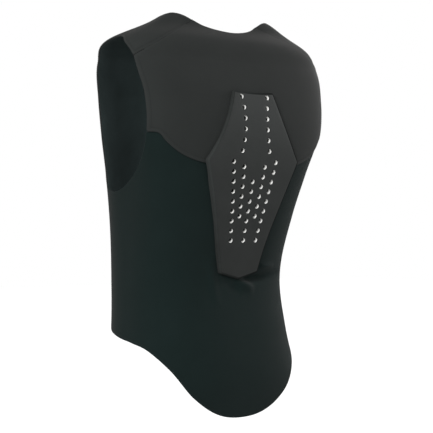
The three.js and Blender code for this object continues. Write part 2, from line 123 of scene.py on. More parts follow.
SEAM_LAP = 0.0002
CLOTH_WALL = 0.0025
YOKE_PAD = 0.003
YOKE_PAD_AT_NECK = 0.0008
YOKE_PAD_FULL_AT = 0.625
ZIP_HALF_WIDTH = 0.005
PLATE_MIDDLE = -0.27
PLATE_HALF_LENGTH = 0.15
PLATE_HALF_WIDTH = 0.096
PLATE_TIP = 0.010
# The head stands a little over the solid's, so that its rounded edge is clear of the first holes' rims.
PLATE_HEAD = 0.002


def smooth(t: Array) -> Array:
    """Eases from 0 to 1: three t squared less two t cubed, held outside that range."""
    t = np.clip(t, 0, 1)
    return t * t * (3 - 2 * t)


def unit(vectors: Array) -> Array:
    """Vectors of length one along the last axis."""
    return vectors / np.linalg.norm(vectors, axis=-1, keepdims=True)


def reached(points: Array) -> Array:
    """Distance along a line at each of its points."""
    return np.concatenate([[0], np.linalg.norm(np.diff(points, axis=0), axis=1).cumsum()])


def read_rows(at: Array, known: Array, rows: Array) -> Array:
    """Rows of values read at places between those where they are known."""
    return np.stack([np.interp(at, known, column) for column in rows.T], -1)


def slopes(depth: Depth, x: Array, z: Array, step: float) -> tuple[Array, Array]:
    """Slopes of a depth along x and along z, from a step to either side.

    Args:
        depth: Function of x and z.
        x: Places to the side.
        z: Heights.
        step: Length of the step.

    Returns:
        The two slopes at each place.
    """
    along_x = (depth(x + step, z) - depth(x - step, z)) / (2 * step)
    along_z = (depth(x, z + step) - depth(x, z - step)) / (2 * step)
    return along_x, along_z


def cubic_table(levels: Array, values: Array, at: Array) -> Array:
    """Cubic through a table whose levels fall, with slopes averaged from the spans beside a row.

    Args:
        levels: The table's first column, falling.
        values: The column that is read.
        at: Levels to read it at.

    Returns:
        The column's values there.
    """
    spans = np.diff(levels)
    rates = np.diff(values) / spans
    inner = (spans[1:] * rates[:-1] + spans[:-1] * rates[1:]) / (spans[1:] + spans[:-1])
    tangents = np.concatenate([rates[:1], inner, rates[-1:]])
    row = np.clip(np.searchsorted(-levels, -at, side="right") - 1, 0, len(spans) - 1)
    t = (at - levels[row]) / spans[row]
    start = (1 + 2 * t) * (1 - t) ** 2 * values[row] + t * (1 - t) ** 2 * spans[row] * tangents[row]
    end = t * t * (3 - 2 * t) * values[row + 1] + t * t * (t - 1) * spans[row] * tangents[row + 1]
    return start + end


@dataclass(frozen=True)
class WornForm:
    """The shape that the cloth takes when it is worn, as level sections with two rounded halves."""

    sections: tuple[Section, ...] = SECTIONS
    angle_step: float = 0.05
    height_step: float = 0.0001

    def value(self, column: str, z: Array) -> Array:
        """A column of the sections, read at any height.

        Args:
            column: Name of the column.
            z: Heights.

        Returns:
            The column's value at each height.
        """
        levels = np.array([section.z for section in self.sections])
        values = np.array([getattr(section, column) for section in self.sections])
        return cubic_table(levels, values, z)

    def point(self, places: Array) -> Array:
        """Points of the form: each section is a superellipse, with its own exponent behind and before.

        Args:
            places: Rows of phi in degrees and z, in any shape of array.

        Returns:
            Points x, y, z in the same shape.
        """
        angle = np.radians(places[..., 0])
        z = places[..., 1]
        across, along = np.cos(angle), np.sin(angle)
        behind = along >= 0
        square = np.where(behind, self.value("square_back", z), self.value("square_front", z))
        reach = (np.abs(across) ** square + np.abs(along) ** square) ** (-1 / square)
        side_y = self.value("side_y", z)
        depth = np.abs(np.where(behind, self.value("back_y", z), self.value("front_y", z)) - side_y)
        return np.stack([self.value("half_width", z) * reach * across, side_y + depth * reach * along, z], -1)

    def normal(self, places: Array) -> Array:
        """Outward directions of the form, square to its steps round the body and upwards.

        Args:
            places: Rows of phi in degrees and z, in any shape of array.

        Returns:
            Unit vectors in the same shape.
        """
        turn = np.array([self.angle_step, 0])
        rise = np.array([0, self.height_step])
        round_body = self.point(places + turn) - self.point(places - turn)
        upwards = self.point(places + rise) - self.point(places - rise)
        return unit(np.cross(round_body, upwards))

    def back_depth(self, x: Array, z: Array) -> Array:
        """Depth of the worn back, from its section's superellipse.

        Args:
            x: Places to the side.
            z: Heights.

        Returns:
            Depth y at each place.
        """
        square = self.value("square_back", z)
        side_y = self.value("side_y", z)
        share = np.abs(x) / self.value("half_width", z)
        return side_y + (self.value("back_y", z) - side_y) * (1 - share**square) ** (1 / square)


@dataclass(frozen=True)
class EdgeCurve:
    """A seam or edge: a uniform Catmull-Rom curve through rows of phi and z."""

    rows: Rows
    closed: bool = False
    fine: int = 600

    def at(self, index: Array) -> Array:
        """Places at fractional row numbers: half of 2 p1 + t (p2 - p0) + t squared * bend + t cubed * twist.

        Args:
            index: Row numbers, whose whole part picks the span and whose fraction is t.

        Returns:
            Rows of phi and z.
        """
        points = np.array(self.rows, float)
        count = len(points)
        last = count - 1 if self.closed else count - 2
        turned = np.mod(index, count) if self.closed else index
        first = np.clip(np.floor(turned).astype(int), 0, last)
        t = (turned - first)[:, None]
        if self.closed:
            p0, p1, p2, p3 = (points[(first + k) % count] for k in (-1, 0, 1, 2))
        else:
            padded = np.vstack([2 * points[0] - points[1], points, 2 * points[-1] - points[-2]])
            p0, p1, p2, p3 = (padded[first + k] for k in range(4))
        bend = 2 * p0 - 5 * p1 + 4 * p2 - p3
        twist = 3 * (p1 - p2) + p3 - p0
        return 0.5 * (2 * p1 + t * (p2 - p0) + t**2 * bend + t**3 * twist)

    def stretch(self, form: WornForm, start: float, end: float, steps: int) -> Array:
        """Places from one row number to another, at equal distances on the body.

        Args:
            form: The worn form that the curve lies on.
            start: Row number where the stretch starts.
            end: Row number where it ends.
            steps: Number of equal steps.

        Returns:
            Rows of phi and z, one more than steps.
        """
        places = self.at(np.linspace(start, end, self.fine))
        return even_places(form, places, steps)


def even_places(form: WornForm, places: Array, steps: int) -> Array:
    """The same line of places, cut into equal distances on the body.

    Args:
        form: The worn form that the line lies on.
        places: Rows of phi and z.
        steps: Number of equal steps.

    Returns:
        Rows of phi and z, one more than steps.
    """
    known = reached(form.point(places))
    wanted = np.linspace(0, known[-1], steps + 1)
    return read_rows(wanted, known, places)


def mirrored(edge: Array) -> Array:
    """An edge of the left half on the right half, walked the other way."""
    return np.stack([180 - edge[:, 0], edge[:, 1]], -1)[::-1]


def joined(*edges: Array) -> Array:
    """Edges end to end, with each shared point once."""
    return np.vstack([edges[0], *(edge[1:] for edge in edges[1:])])


def between(edge: Array, share: Array) -> Array:
    """Places at the given shares of an edge's points."""
    return read_rows(share, np.linspace(0, 1, len(edge)), edge)


@dataclass(frozen=True)
class Patch:
    """A Coons patch of places between four edges: the two rulings added, less the corners' bilinear."""

    top: Array
    bottom: Array
    left: Array
    right: Array

    def at(self, u: Array, v: Array) -> Array:
        """Places of the patch.

        Args:
            u: Shares of the way across.
            v: Shares of the way down, in the same shape of array.

        Returns:
            Rows of phi and z in that shape.
        """
        wide, deep = u[..., None], v[..., None]
        ruled_down = (1 - deep) * between(self.top, u) + deep * between(self.bottom, u)
        ruled_across = (1 - wide) * between(self.left, v) + wide * between(self.right, v)
        upper = (1 - wide) * self.top[0] + wide * self.top[-1]
        lower = (1 - wide) * self.bottom[0] + wide * self.bottom[-1]
        return ruled_down + ruled_across - (1 - deep) * upper - deep * lower

    def mirrored(self) -> "Patch":
        """The same patch on the other half of the body."""
        return Patch(mirrored(self.top), mirrored(self.bottom), mirrored(self.right)[::-1],
                     mirrored(self.left)[::-1])


@dataclass(frozen=True)
class Pattern:
    """The vest's cut: its edges and seams on the worn form, and the patches between them.

    The steps keep the share of each stretch of edge in its patch, and samples divides every step.
    """

    form: WornForm
    samples: int = 12
    shoulder_steps: int = 7
    neck_back_steps: int = 6
    yoke_steps: int = 13
    yoke_side_steps: int = 9
    underarm_steps: int = 7
    side_steps: int = 11
    front_steps: int = 7
    front_arm_steps: int = 14
    front_neck_steps: int = 12

    def stretch(self, rows: Rows, start: float, end: float, steps: int, closed: bool = False) -> Array:
        """Part of an edge, finely and evenly divided."""
        return EdgeCurve(rows, closed).stretch(self.form, start, end, steps * self.samples)

    def opening_phi(self, z: Array) -> Array:
        """Angle of the front opening's edge, half a zip from the middle."""
        return -90 + np.degrees(np.arcsin(ZIP_HALF_WIDTH / self.form.value("half_width", z)))

    def to_opening(self, rows: Rows, start: float, steps: int) -> Array:
        """Part of an edge, up to where it meets the front opening.

        Args:
            rows: The edge's rows.
            start: Row number where the part starts.
            steps: Number of steps, each divided into samples.

        Returns:
            Rows of phi and z at equal distances.
        """
        curve = EdgeCurve(rows)
        places = curve.at(np.linspace(start, len(rows) - 1, curve.fine))
        kept = places[places[:, 0] > self.opening_phi(places[:, 1])]
        z = kept[-1, 1]
        end = np.array([[float(self.opening_phi(np.array(z))), z]])
        return even_places(self.form, np.vstack([kept, end]), steps * self.samples)

    def shoulder_seam(self) -> Array:
        """From the armhole up to the neck."""
        return self.stretch(SHOULDER_ROWS, 0, len(SHOULDER_ROWS) - 1, self.shoulder_steps)

    def yoke_seam(self) -> Array:
        """From the left armhole to the spine."""
        return self.stretch(YOKE_ROWS, 0, len(YOKE_ROWS) - 1, self.yoke_steps)

    def underarm(self) -> Array:
        """The armhole's edge from the yoke seam forwards to the side seam."""
        return self.stretch(ARMHOLE_ROWS, ARMHOLE_AT_YOKE, ARMHOLE_AT_SIDE, self.underarm_steps, True)

    def hem_back(self) -> Array:
        """From the side seam to the spine."""
        steps = self.shoulder_steps + self.neck_back_steps + self.underarm_steps
        return self.stretch(HEM_ROWS, HEM_AT_SIDE, ROW_AT_SPINE, steps)

    def side_seam(self) -> Array:
        """Straight in phi and z from the armhole to the hem."""
        share = np.linspace(0, 1, self.side_steps * self.samples + 1)[:, None]
        return (1 - share) * np.array(ARMHOLE_ROWS[ARMHOLE_AT_SIDE]) + share * np.array(HEM_ROWS[HEM_AT_SIDE])

    def yoke(self) -> Patch:
        """The upper back.

        Returns:
            The patch from the neck and the shoulder seams to the yoke seam.
        """
        shoulder = self.shoulder_seam()
        neck = self.stretch(NECK_ROWS, NECK_AT_SEAM, ROW_AT_SPINE, self.neck_back_steps)
        side = self.stretch(ARMHOLE_ROWS, ARMHOLE_AT_SHOULDER, ARMHOLE_AT_YOKE, self.yoke_side_steps, True)
        seam = self.yoke_seam()
        top = joined(shoulder, neck, mirrored(neck), mirrored(shoulder))
        return Patch(top, joined(seam, mirrored(seam)), side, mirrored(side)[::-1])

    def lower_body(self) -> Patch:
        """Lower back, sides and tail.

        Returns:
            The patch from the yoke seam and both underarms to the hem.
        """
        under, seam, hem, side = self.underarm()[::-1], self.yoke_seam(), self.hem_back(), self.side_seam()
        top = joined(under, seam, mirrored(seam), mirrored(under))
        return Patch(top, joined(hem, mirrored(hem)), side, mirrored(side)[::-1])

    def front_left(self) -> Patch:
        """Left front.

        Returns:
            The patch from the shoulder seam over the shoulder to the hem.
        """
        neck = self.to_opening(NECK_ROWS, NECK_AT_SEAM, self.front_neck_steps)
        hem = self.to_opening(HEM_ROWS, HEM_AT_SIDE, self.front_steps)[::-1]
        steps = self.front_arm_steps + self.side_steps - self.front_neck_steps
        heights = np.linspace(neck[-1, 1], hem[0, 1], steps * self.samples + 1)
        opening = np.stack([self.opening_phi(heights), heights], -1)
        turn = len(ARMHOLE_ROWS) + ARMHOLE_AT_SHOULDER
        arm = self.stretch(ARMHOLE_ROWS, ARMHOLE_AT_SIDE, turn, self.front_arm_steps, True)[::-1]
        return Patch(self.shoulder_seam()[::-1], hem, joined(neck, opening), joined(arm, self.side_seam()))

    def zip_strip(self) -> Patch:
        """The strip that closes the front opening.

        Returns:
            The patch between both fronts' edges.
        """
        right = self.front_left().left[self.front_neck_steps * self.samples:]
        left = np.stack([-180 - right[:, 0], right[:, 1]], -1)
        return Patch(np.vstack([left[0], right[0]]), np.vstack([left[-1], right[-1]]), left, right)


class Surface:
    """Gathers arrays of points and faces into one mesh, with a length-true UV map and a border distance."""

    UV = "cut"
    BORDER = "border"
    SHARP_ANGLE = 60.0

    def __init__(self) -> None:
        """Starts with no points."""
        self.count = 0
        self.points: list[Array] = []
        self.lengths: list[Array] = []
        self.borders: list[Array] = []
        self.faces: list[list[int]] = []
        self.finishes: list[Array] = []

    def add(self, points: Array, faces: Array, lengths: Array, border: Array | float = 1.0,
            finish: int = 0) -> None:
        """Adds points and the faces between them.

        Args:
            points: Rows of x, y, z.
            faces: Rows of point numbers, counted from this call's first point.
            lengths: Rows of the two lengths along the surface, for the UV map.
            border: Distance of each point from the piece's edge.
            finish: Number of the material that the faces take.
        """
        self.points.append(points)
        self.lengths.append(lengths)
        self.borders.append(np.broadcast_to(border, len(points)))
        self.faces.extend((faces + self.count).tolist())
        self.finishes.append(np.full(len(faces), finish))
        self.count += len(points)

    def piece(self, name: str, materials: list[bpy.types.Material], weld: float = WELD) -> bpy.types.Object:
        """Makes the mesh object, in the frame of the vest, smooth other than at edges over the sharp angle.

        Args:
            name: Name of the piece.
            materials: Its finishes, in the order that the faces count them.
            weld: Points closer than this become one.

        Returns:
            The object, linked to the scene.
        """
        mesh = bpy.data.meshes.new(name)
        mesh.from_pydata(np.vstack(self.points), [], self.faces)
        corners = np.empty(len(mesh.loops), np.int32)
        mesh.loops.foreach_get("vertex_index", corners)
        cut = mesh.uv_layers.new(name=self.UV)
        cut.data.foreach_set("uv", np.vstack(self.lengths)[corners].astype(np.float32).ravel())
        border = mesh.attributes.new(self.BORDER, "FLOAT", "POINT")
        border.data.foreach_set("value", np.concatenate(self.borders).astype(np.float32))
        mesh.polygons.foreach_set("material_index", np.concatenate(self.finishes).astype(np.int32))
        weld_points(mesh, weld)
        mesh.shade_smooth()
        mesh.set_sharp_from_angle(angle=math.radians(self.SHARP_ANGLE))
        for material in materials:
            mesh.materials.append(material)
        made = bpy.data.objects.new(name, mesh)
        bpy.context.scene.collection.objects.link(made)
        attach(made, BODY)
        log.info("%s: %d points, %d faces", name, len(mesh.vertices), len(mesh.polygons))
        return made


def weld_points(mesh: bpy.types.Mesh, distance: float) -> None:
    """Joins points that lie close together.

    Args:
        mesh: Mesh that they belong to.
        distance: Points closer than this become one.
    """
    work = bmesh.new()
    work.from_mesh(mesh)
    bmesh.ops.remove_doubles(work, verts=work.verts, dist=distance)
    work.to_mesh(mesh)
    work.free()


def grid_faces(rows: int, columns: int, flipped: bool = False) -> Array:
    """Quads of a grid of points, facing out where rows run down and columns run to the right.

    Args:
        rows: Number of rows of points.
        columns: Number of points in a row.
        flipped: Whether the quads face the other way.

    Returns:
        Rows of four point numbers.
    """
    number = np.arange(rows * columns).reshape(rows, columns)
    corners = [number[:-1, :-1], number[1:, :-1], number[1:, 1:], number[:-1, 1:]]
    faces = np.stack([corner.ravel() for corner in corners], -1)
    return faces[:, ::-1] if flipped else faces


def ring_faces(rings: int, around: int, flipped: bool = False) -> Array:
    """Quads between closed rings of points, one ring after another.

    Args:
        rings: Number of rings.
        around: Number of points in a ring.
        flipped: Whether the quads face the other way.

    Returns:
        Rows of four point numbers.
    """
    number = np.arange(rings * around).reshape(rings, around)
    after = np.roll(number, -1, axis=1)
    faces = np.stack([number[:-1].ravel(), number[1:].ravel(), after[1:].ravel(), after[:-1].ravel()], -1)
    return faces[:, ::-1] if flipped else faces


ROD_STATIONS = (-1, -0.9, -0.5, 0.5, 0.9, 1)


def add_rods(surface: Surface, centres: Array, along: Array, up: Array, length: float, radius: float,
             sides: int = 5) -> None:
    """Adds small rods with round ends: the radius falls as the root of 1 - s to the fourth, s from -1 to 1.

    Args:
        surface: Surface that takes them.
        centres: Their middles.
        along: Unit vectors along them.
        up: Unit vectors square to them.
        length: Length of each rod.
        radius: Its radius in the middle.
        sides: Number of sides.
    """
    s = np.array(ROD_STATIONS)
    thick = radius * np.sqrt(1 - s**4)
    angle = np.linspace(0, 2 * np.pi, sides, endpoint=False)
    side = np.cross(up, along)
    spokes = np.cos(angle)[:, None] * side[:, None] + np.sin(angle)[:, None] * up[:, None]
    axis = centres[:, None] + (s * length / 2)[:, None] * along[:, None]
    points = axis[:, :, None] + thick[:, None, None] * spokes[:, None]
    faces = ring_faces(len(s), sides, True)
    starts = np.arange(len(centres)) * len(s) * sides
    turns, lengths = np.meshgrid(angle * radius, s * length / 2)
    flat = np.tile(np.stack([turns.ravel(), lengths.ravel()], -1), (len(centres), 1))
    surface.add(points.reshape(-1, 3), (starts[:, None, None] + faces).reshape(-1, 4), flat)


class Edge(Enum):
    """The four edges of a panel."""

    TOP = "top"
    BOTTOM = "bottom"
    LEFT = "left"
    RIGHT = "right"


@dataclass(frozen=True)
class ClothPanel:
    """A sewn panel: a wall over a patch of the worn form, with round edges all the way about.

    The wall lies inside the form, its padding stands out from the form, and folds move both sides alike.
    """

    name: str
    form: WornForm
    patch: Patch
    columns: int
    rows: int
    wall: float = CLOTH_WALL
    rim_steps: int = 7
    rim_square: float = 0.6
    least_slant: float = 0.6

    def pad(self, share: Array) -> Array:
        """Height of the outer side over the form, by share of the way from the top edge down."""
        return np.zeros_like(share)

    def folds(self, points: Array) -> Array:
        """Height of the folds at points of the form."""
        return np.zeros(points.shape[:-1])

    def insets(self, margin: float) -> dict[Edge, Array]:
        """Shares by which the grid stops short of each edge, so that a round rim ends a margin inside it.

        A step along the grid is longer than the distance square to the edge where the two are slanted.

        Args:
            margin: Distance left between the rim and the patch's edge.

        Returns:
            For each edge, its inset at every grid line that meets it, as a share of that line.
        """
        u, v = np.meshgrid(np.linspace(0, 1, self.columns + 1), np.linspace(0, 1, self.rows + 1))
        points = self.form.point(self.patch.at(u, v))
        steps_across = np.diff(points, axis=1)
        steps_down = np.diff(points, axis=0)
        width = np.linalg.norm(steps_across, axis=-1).sum(1)
        height = np.linalg.norm(steps_down, axis=-1).sum(0)
        lines = {
            Edge.TOP: (steps_down[0], points[0], height, v[0]),
            Edge.BOTTOM: (steps_down[-1], points[-1], height, v[-1]),
            Edge.LEFT: (steps_across[:, 0], points[:, 0], width, v[:, 0]),
            Edge.RIGHT: (steps_across[:, -1], points[:, -1], width, v[:, -1]),
        }
        found = {}
        for edge, (steps, along, length, share) in lines.items():
            slant = np.linalg.norm(np.cross(unit(steps), unit(np.gradient(along, axis=0))), axis=-1)
            radius = (self.wall + self.pad(share)) / 2
            found[edge] = (margin + radius) / np.maximum(slant, self.least_slant) / length
        return found

    def places(self, margin: float = -SEAM_LAP / 2) -> tuple[Array, Array]:
        """Places of the panel's grid.

        Args:
            margin: Distance left between the rim and the patch's edge.

        Returns:
            Rows of phi and z by grid row and column, and their shares from top to bottom.
        """
        inset = self.insets(margin)
        across = np.linspace(0, 1, self.columns + 1)[None, :]
        down = np.linspace(0, 1, self.rows + 1)[:, None]
        left, right = inset[Edge.LEFT][:, None], inset[Edge.RIGHT][:, None]
        top, bottom = inset[Edge.TOP][None, :], inset[Edge.BOTTOM][None, :]
        u = left + (1 - left - right) * across
        v = top + (1 - top - bottom) * down
        return self.patch.at(u, v), v

    def edge_line(self, edge: Edge, margin: float) -> tuple[Array, Array]:
        """A line on the outer side, along an edge.

        Args:
            edge: The edge that the line follows.
            margin: Distance between the line and the edge's rim.

        Returns:
            Its points and their outward directions.
        """
        places, share = self.places(margin)
        lines = {
            Edge.TOP: np.s_[0],
            Edge.BOTTOM: np.s_[-1],
            Edge.LEFT: np.s_[:, 0],
            Edge.RIGHT: np.s_[:, -1],
        }
        places, share = places[lines[edge]], share[lines[edge]]
        points, normals = self.form.point(places), self.form.normal(places)
        lift = self.pad(share) + self.folds(points)
        return points + normals * lift[:, None], normals

    def build(self, outer: bpy.types.Material, lining: bpy.types.Material) -> bpy.types.Object:
        """Makes the panel: an outer and an inner grid, and half a round carried about the edge between them.

        Args:
            outer: Finish of the outer side and the rim.
            lining: Finish of the inner side.

        Returns:
            The panel's object, standing for the node of the same name.
        """
        places, share = self.places()
        points, normals = self.form.point(places), self.form.normal(places)
        pad, fold = self.pad(share)[..., None], self.folds(points)[..., None]
        outside = points + normals * (pad + fold)
        inside = points + normals * (fold - self.wall)
        across = np.linalg.norm(np.diff(points, axis=1, prepend=points[:, :1]), axis=-1).cumsum(1)
        down = np.linalg.norm(np.diff(points, axis=0, prepend=points[:1]), axis=-1).cumsum(0)
        to_side = np.minimum(across, across[:, -1:] - across)
        border = np.minimum(to_side, np.minimum(down, down[-1:] - down))
        middle = across[:, self.columns // 2, None]
        lengths = np.stack([across - middle, down], -1)

        rows, columns = self.rows + 1, self.columns + 1
        number = np.arange(rows * columns).reshape(rows, columns)
        loop = np.concatenate([number[:-1, 0], number[-1, :-1], number[:0:-1, -1], number[0, :0:-1]])
        centre = ((outside + inside) / 2).reshape(-1, 3)[loop]
        square = normals.reshape(-1, 3)[loop]
        radius = np.linalg.norm(outside - inside, axis=-1).reshape(-1)[loop][:, None] / 2
        outwards = unit(np.cross(np.roll(centre, -1, 0) - np.roll(centre, 1, 0), square))
        angles = np.linspace(np.pi / 2, -np.pi / 2, self.rim_steps + 2)[:, None, None]
        reach = np.cos(angles) ** self.rim_square
        rise = np.sign(angles) * np.abs(np.sin(angles)) ** self.rim_square
        rim = centre + radius * (reach * outwards + rise * square)

        surface = Surface()
        flat_lengths = lengths.reshape(-1, 2)
        surface.add(outside.reshape(-1, 3), grid_faces(rows, columns), flat_lengths, border.ravel())
        surface.add(inside.reshape(-1, 3), grid_faces(rows, columns, True), flat_lengths, border.ravel(), 1)
        rim_lengths = np.tile(flat_lengths[loop], (self.rim_steps + 2, 1))
        surface.add(rim.reshape(-1, 3), ring_faces(self.rim_steps + 2, len(loop)), rim_lengths, 0.0)
        made = surface.piece(self.name, [outer, lining])
        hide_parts(self.name)
        return made


class Yoke(ClothPanel):
    """The padded upper back, whose lip stands proud of the stretch cloth at its lower seam."""

    def pad(self, share: Array) -> Array:
        """The padding grows from the neck down."""
        return YOKE_PAD_AT_NECK + (YOKE_PAD - YOKE_PAD_AT_NECK) * smooth(share / YOKE_PAD_FULL_AT)


class Fold(NamedTuple):
    """A soft ridge of the back's cloth, or a crease where its height is negative, along three places x, z."""

    start: tuple[float, float]
    middle: tuple[float, float]
    end: tuple[float, float]
    height: float
    width_above: float
    width_below: float


FOLDS = (
    Fold((-0.002, -0.4275), (-0.036, -0.4335), (-0.112, -0.4240), -0.0095, 0.0085, 0.0060),
    Fold((0.000, -0.4315), (-0.018, -0.4405), (-0.040, -0.4535), 0.0056, 0.0065, 0.0090),
    Fold((0.030, -0.4350), (0.008, -0.4440), (-0.012, -0.4530), -0.0026, 0.0060, 0.0080),
    Fold((-0.044, -0.4125), (-0.064, -0.4135), (-0.090, -0.4140), 0.0034, 0.0048, 0.0032),
    Fold((0.059, -0.3950), (0.048, -0.4340), (0.043, -0.4780), 0.0024, 0.0080, 0.0080),
)
FOLD_TAPER = 1.1
FOLD_STEPS = 41
# From this depth y backwards the folds come in, over the given length, so that none shows on the front.
FOLD_FRONT = -0.02
FOLD_COMES_IN = 0.03


class LowerBody(ClothPanel):
    """The stretch body, which folds where the plate's lower end stands over the hollow of the back."""

    def folds(self, points: Array) -> Array:
        """Sum of the folds: each is a bell across its curve, and tapers to nothing at the curve's ends.

        The curve is the parabola through the fold's three places, and each point takes its nearest place.

        Args:
            points: Points of the worn form.

        Returns:
            Height over the form at each point.
        """
        total = np.zeros(points.shape[:-1])
        behind = smooth((points[..., 1] - FOLD_FRONT) / FOLD_COMES_IN)
        t = np.linspace(0, 1, FOLD_STEPS)
        weights = np.stack([(1 - t) ** 2, 2 * t * (1 - t), t**2], -1)
        for fold in FOLDS:
            start, middle, end = (np.array(place) for place in fold[:3])
            pull = 2 * middle - (start + end) / 2
            curve = weights @ np.stack([start, pull, end])
            apart = points[..., None, ::2] - curve
            nearest = np.argmin((apart**2).sum(-1), axis=-1)
            offset = np.take_along_axis(apart, nearest[..., None, None], axis=-2)[..., 0, :]
            width = np.where(offset[..., 1] > 0, fold.width_above, fold.width_below)
            distance = np.linalg.norm(offset, axis=-1) / width
            taper = (4 * t * (1 - t))[nearest] ** FOLD_TAPER
            total += behind * fold.height * taper * np.exp(-(distance**2))
        return total


@dataclass(frozen=True)
class Stitching:
    """Thread stitches, half sunk in the cloth: rows a little way in from edges, and tacks at seam ends."""

    form: WornForm
    margin: float = 0.004
    length: float = 0.0023
    gap: float = 0.0009
    radius: float = 0.0003
    tack_radius: float = 0.0012
    tack_lift: float = 0.0003
    tack_at_armhole: float = 0.020
    tack_at_neck: float = 0.020

    def add_stitches(self, surface: Surface, line: Array, normals: Array, last: float,
                     radius: float) -> None:
        """Adds stitches at equal distances along the first part of a line.

        Args:
            surface: Surface that they are added to.
            line: Points of the line.
            normals: Outward directions at those points.
            last: Distance along the line where they end, or its whole length if that is less.
            radius: Radius of the thread.
        """
        known = reached(line)
        last = min(last, known[-1])
        count = int(last / (self.length + self.gap))
        middles = (np.arange(count) + 0.5) * last / count
        ahead = read_rows(middles + self.length / 2, known, line)
        along = unit(ahead - read_rows(middles - self.length / 2, known, line))
        up = read_rows(middles, known, normals)
        up = unit(up - along * (up * along).sum(-1, keepdims=True))
        add_rods(surface, read_rows(middles, known, line), along, up, self.length, radius)

    def add_tacks(self, surface: Surface, seam: Array) -> None:
        """Adds thick stitches at both ends of a seam.

        Args:
            surface: Surface that they are added to.
            seam: Places of the seam, from an armhole to the neck.
        """
        normals = self.form.normal(seam)
        line = self.form.point(seam) + self.tack_lift * normals
        self.add_stitches(surface, line, normals, self.tack_at_armhole, self.tack_radius)
        self.add_stitches(surface, line[::-1], normals[::-1], self.tack_at_neck, self.tack_radius)

    def build(self, rows: list[tuple[ClothPanel, Edge]], seams: list[Array],
              material: bpy.types.Material) -> bpy.types.Object:
        """Makes all stitches as one piece.

        Args:
            rows: Panels and their edges that have a row of stitches.
            seams: Places of the seams that are tacked at both ends.
            material: Finish of the thread.

        Returns:
            The piece.
        """
        surface = Surface()
        for panel, edge in rows:
            line, normals = panel.edge_line(edge, self.margin)
            self.add_stitches(surface, line, normals, math.inf, self.radius)
        for seam in seams:
            self.add_tacks(surface, seam)
        return surface.piece("stitches", [material])


@dataclass(frozen=True)
class ZipTeeth:
    """The closed zip's two rows of teeth, which reach across the middle by turns."""

    form: WornForm
    end_gap: float = 0.002
    top: float = NECK_ROWS[-1][1] - end_gap
    bottom: float = HEM_ROWS[-1][1] + end_gap
    pitch: float = 0.0015
    length: float = 0.0036
    radius: float = 0.0006
    offset: float = 0.0009
    lift: float = 0.0004
    sides: int = 6

    def build(self, material: bpy.types.Material) -> bpy.types.Object:
        """Makes the teeth down the middle of the front.

        Args:
            material: Finish of the teeth.

        Returns:
            The piece.
        """
        z = np.arange(self.top, self.bottom, -self.pitch)
        places = np.stack([np.full_like(z, -90), z], -1)
        normals = self.form.normal(places)
        along = np.tile([1.0, 0, 0], (len(z), 1))
        by_turns = np.where(np.arange(len(z)) % 2, 1, -1)[:, None]
        centres = self.form.point(places) + normals * self.lift + along * by_turns * self.offset
        surface = Surface()
        add_rods(surface, centres, along, normals, self.length, self.radius, self.sides)
        return surface.piece("zip_teeth", [material])


class Value:
    """A number that changes over a surface. An expression on values adds its Math nodes."""

    def __init__(self, tree: "FinishTree", socket: bpy.types.NodeSocket) -> None:
        """Wraps a socket of a finish's tree."""
        self.tree = tree
        self.socket = socket

    def maths(self, operation: str, *others: "Value | float") -> "Value":
        """One Math node that starts from this value."""
        return self.tree.maths(operation, self, *others)

    def __add__(self, other: "Value | float") -> "Value":
        """This value plus another."""
        return self.maths("ADD", other)

    __radd__ = __add__

    def __mul__(self, other: "Value | float") -> "Value":
        """This value times another."""
        return self.maths("MULTIPLY", other)

    __rmul__ = __mul__

    def __sub__(self, other: "Value | float") -> "Value":
        """This value less another."""
        return self.maths("SUBTRACT", other)

    def __rsub__(self, other: "Value | float") -> "Value":
        """Another less this value."""
        return self.tree.maths("SUBTRACT", other, self)

    def __truediv__(self, other: "Value | float") -> "Value":
        """This value over another."""
        return self.maths("DIVIDE", other)

    def __rtruediv__(self, other: "Value | float") -> "Value":
        """Another over this value."""
        return self.tree.maths("DIVIDE", other, self)

    def held(self) -> "Value":
        """This value held between 0 and 1."""
        return self.maths("MAXIMUM", 0.0).maths("MINIMUM", 1.0)


Sockets = dict[str | int, Value | bpy.types.NodeSocket | Colour | float]


class NodeTree:
    """A tree of shader nodes, and the one way that nodes are added to it."""

    def __init__(self, tree: bpy.types.NodeTree) -> None:
        """Works on a tree that has its first nodes."""
        self.tree = tree

    def node(self, kind: str, settings: dict[str, str] | None = None,
             inputs: Sockets | None = None) -> bpy.types.Node:
        """Adds a node.

        Args:
            kind: Its type, without the ShaderNode that all of them start with.
            settings: Its own settings, set first.
            inputs: Values or links of its sockets.

        Returns:
            The node.
        """
        made = self.tree.nodes.new("ShaderNode" + kind)
        for key, value in (settings or {}).items():
            setattr(made, key, value)
        self.feed(made, inputs or {})
        return made

    def feed(self, node: bpy.types.Node, inputs: Sockets) -> None:
        """Sets or links a node's sockets.

        Args:
            node: The node.
            inputs: What each of its sockets takes, by name or number.
        """
        for key, value in inputs.items():
            source = value.socket if isinstance(value, Value) else value
            if isinstance(source, bpy.types.NodeSocket):
                self.tree.links.new(source, node.inputs[key])
            else:
                node.inputs[key].default_value = source


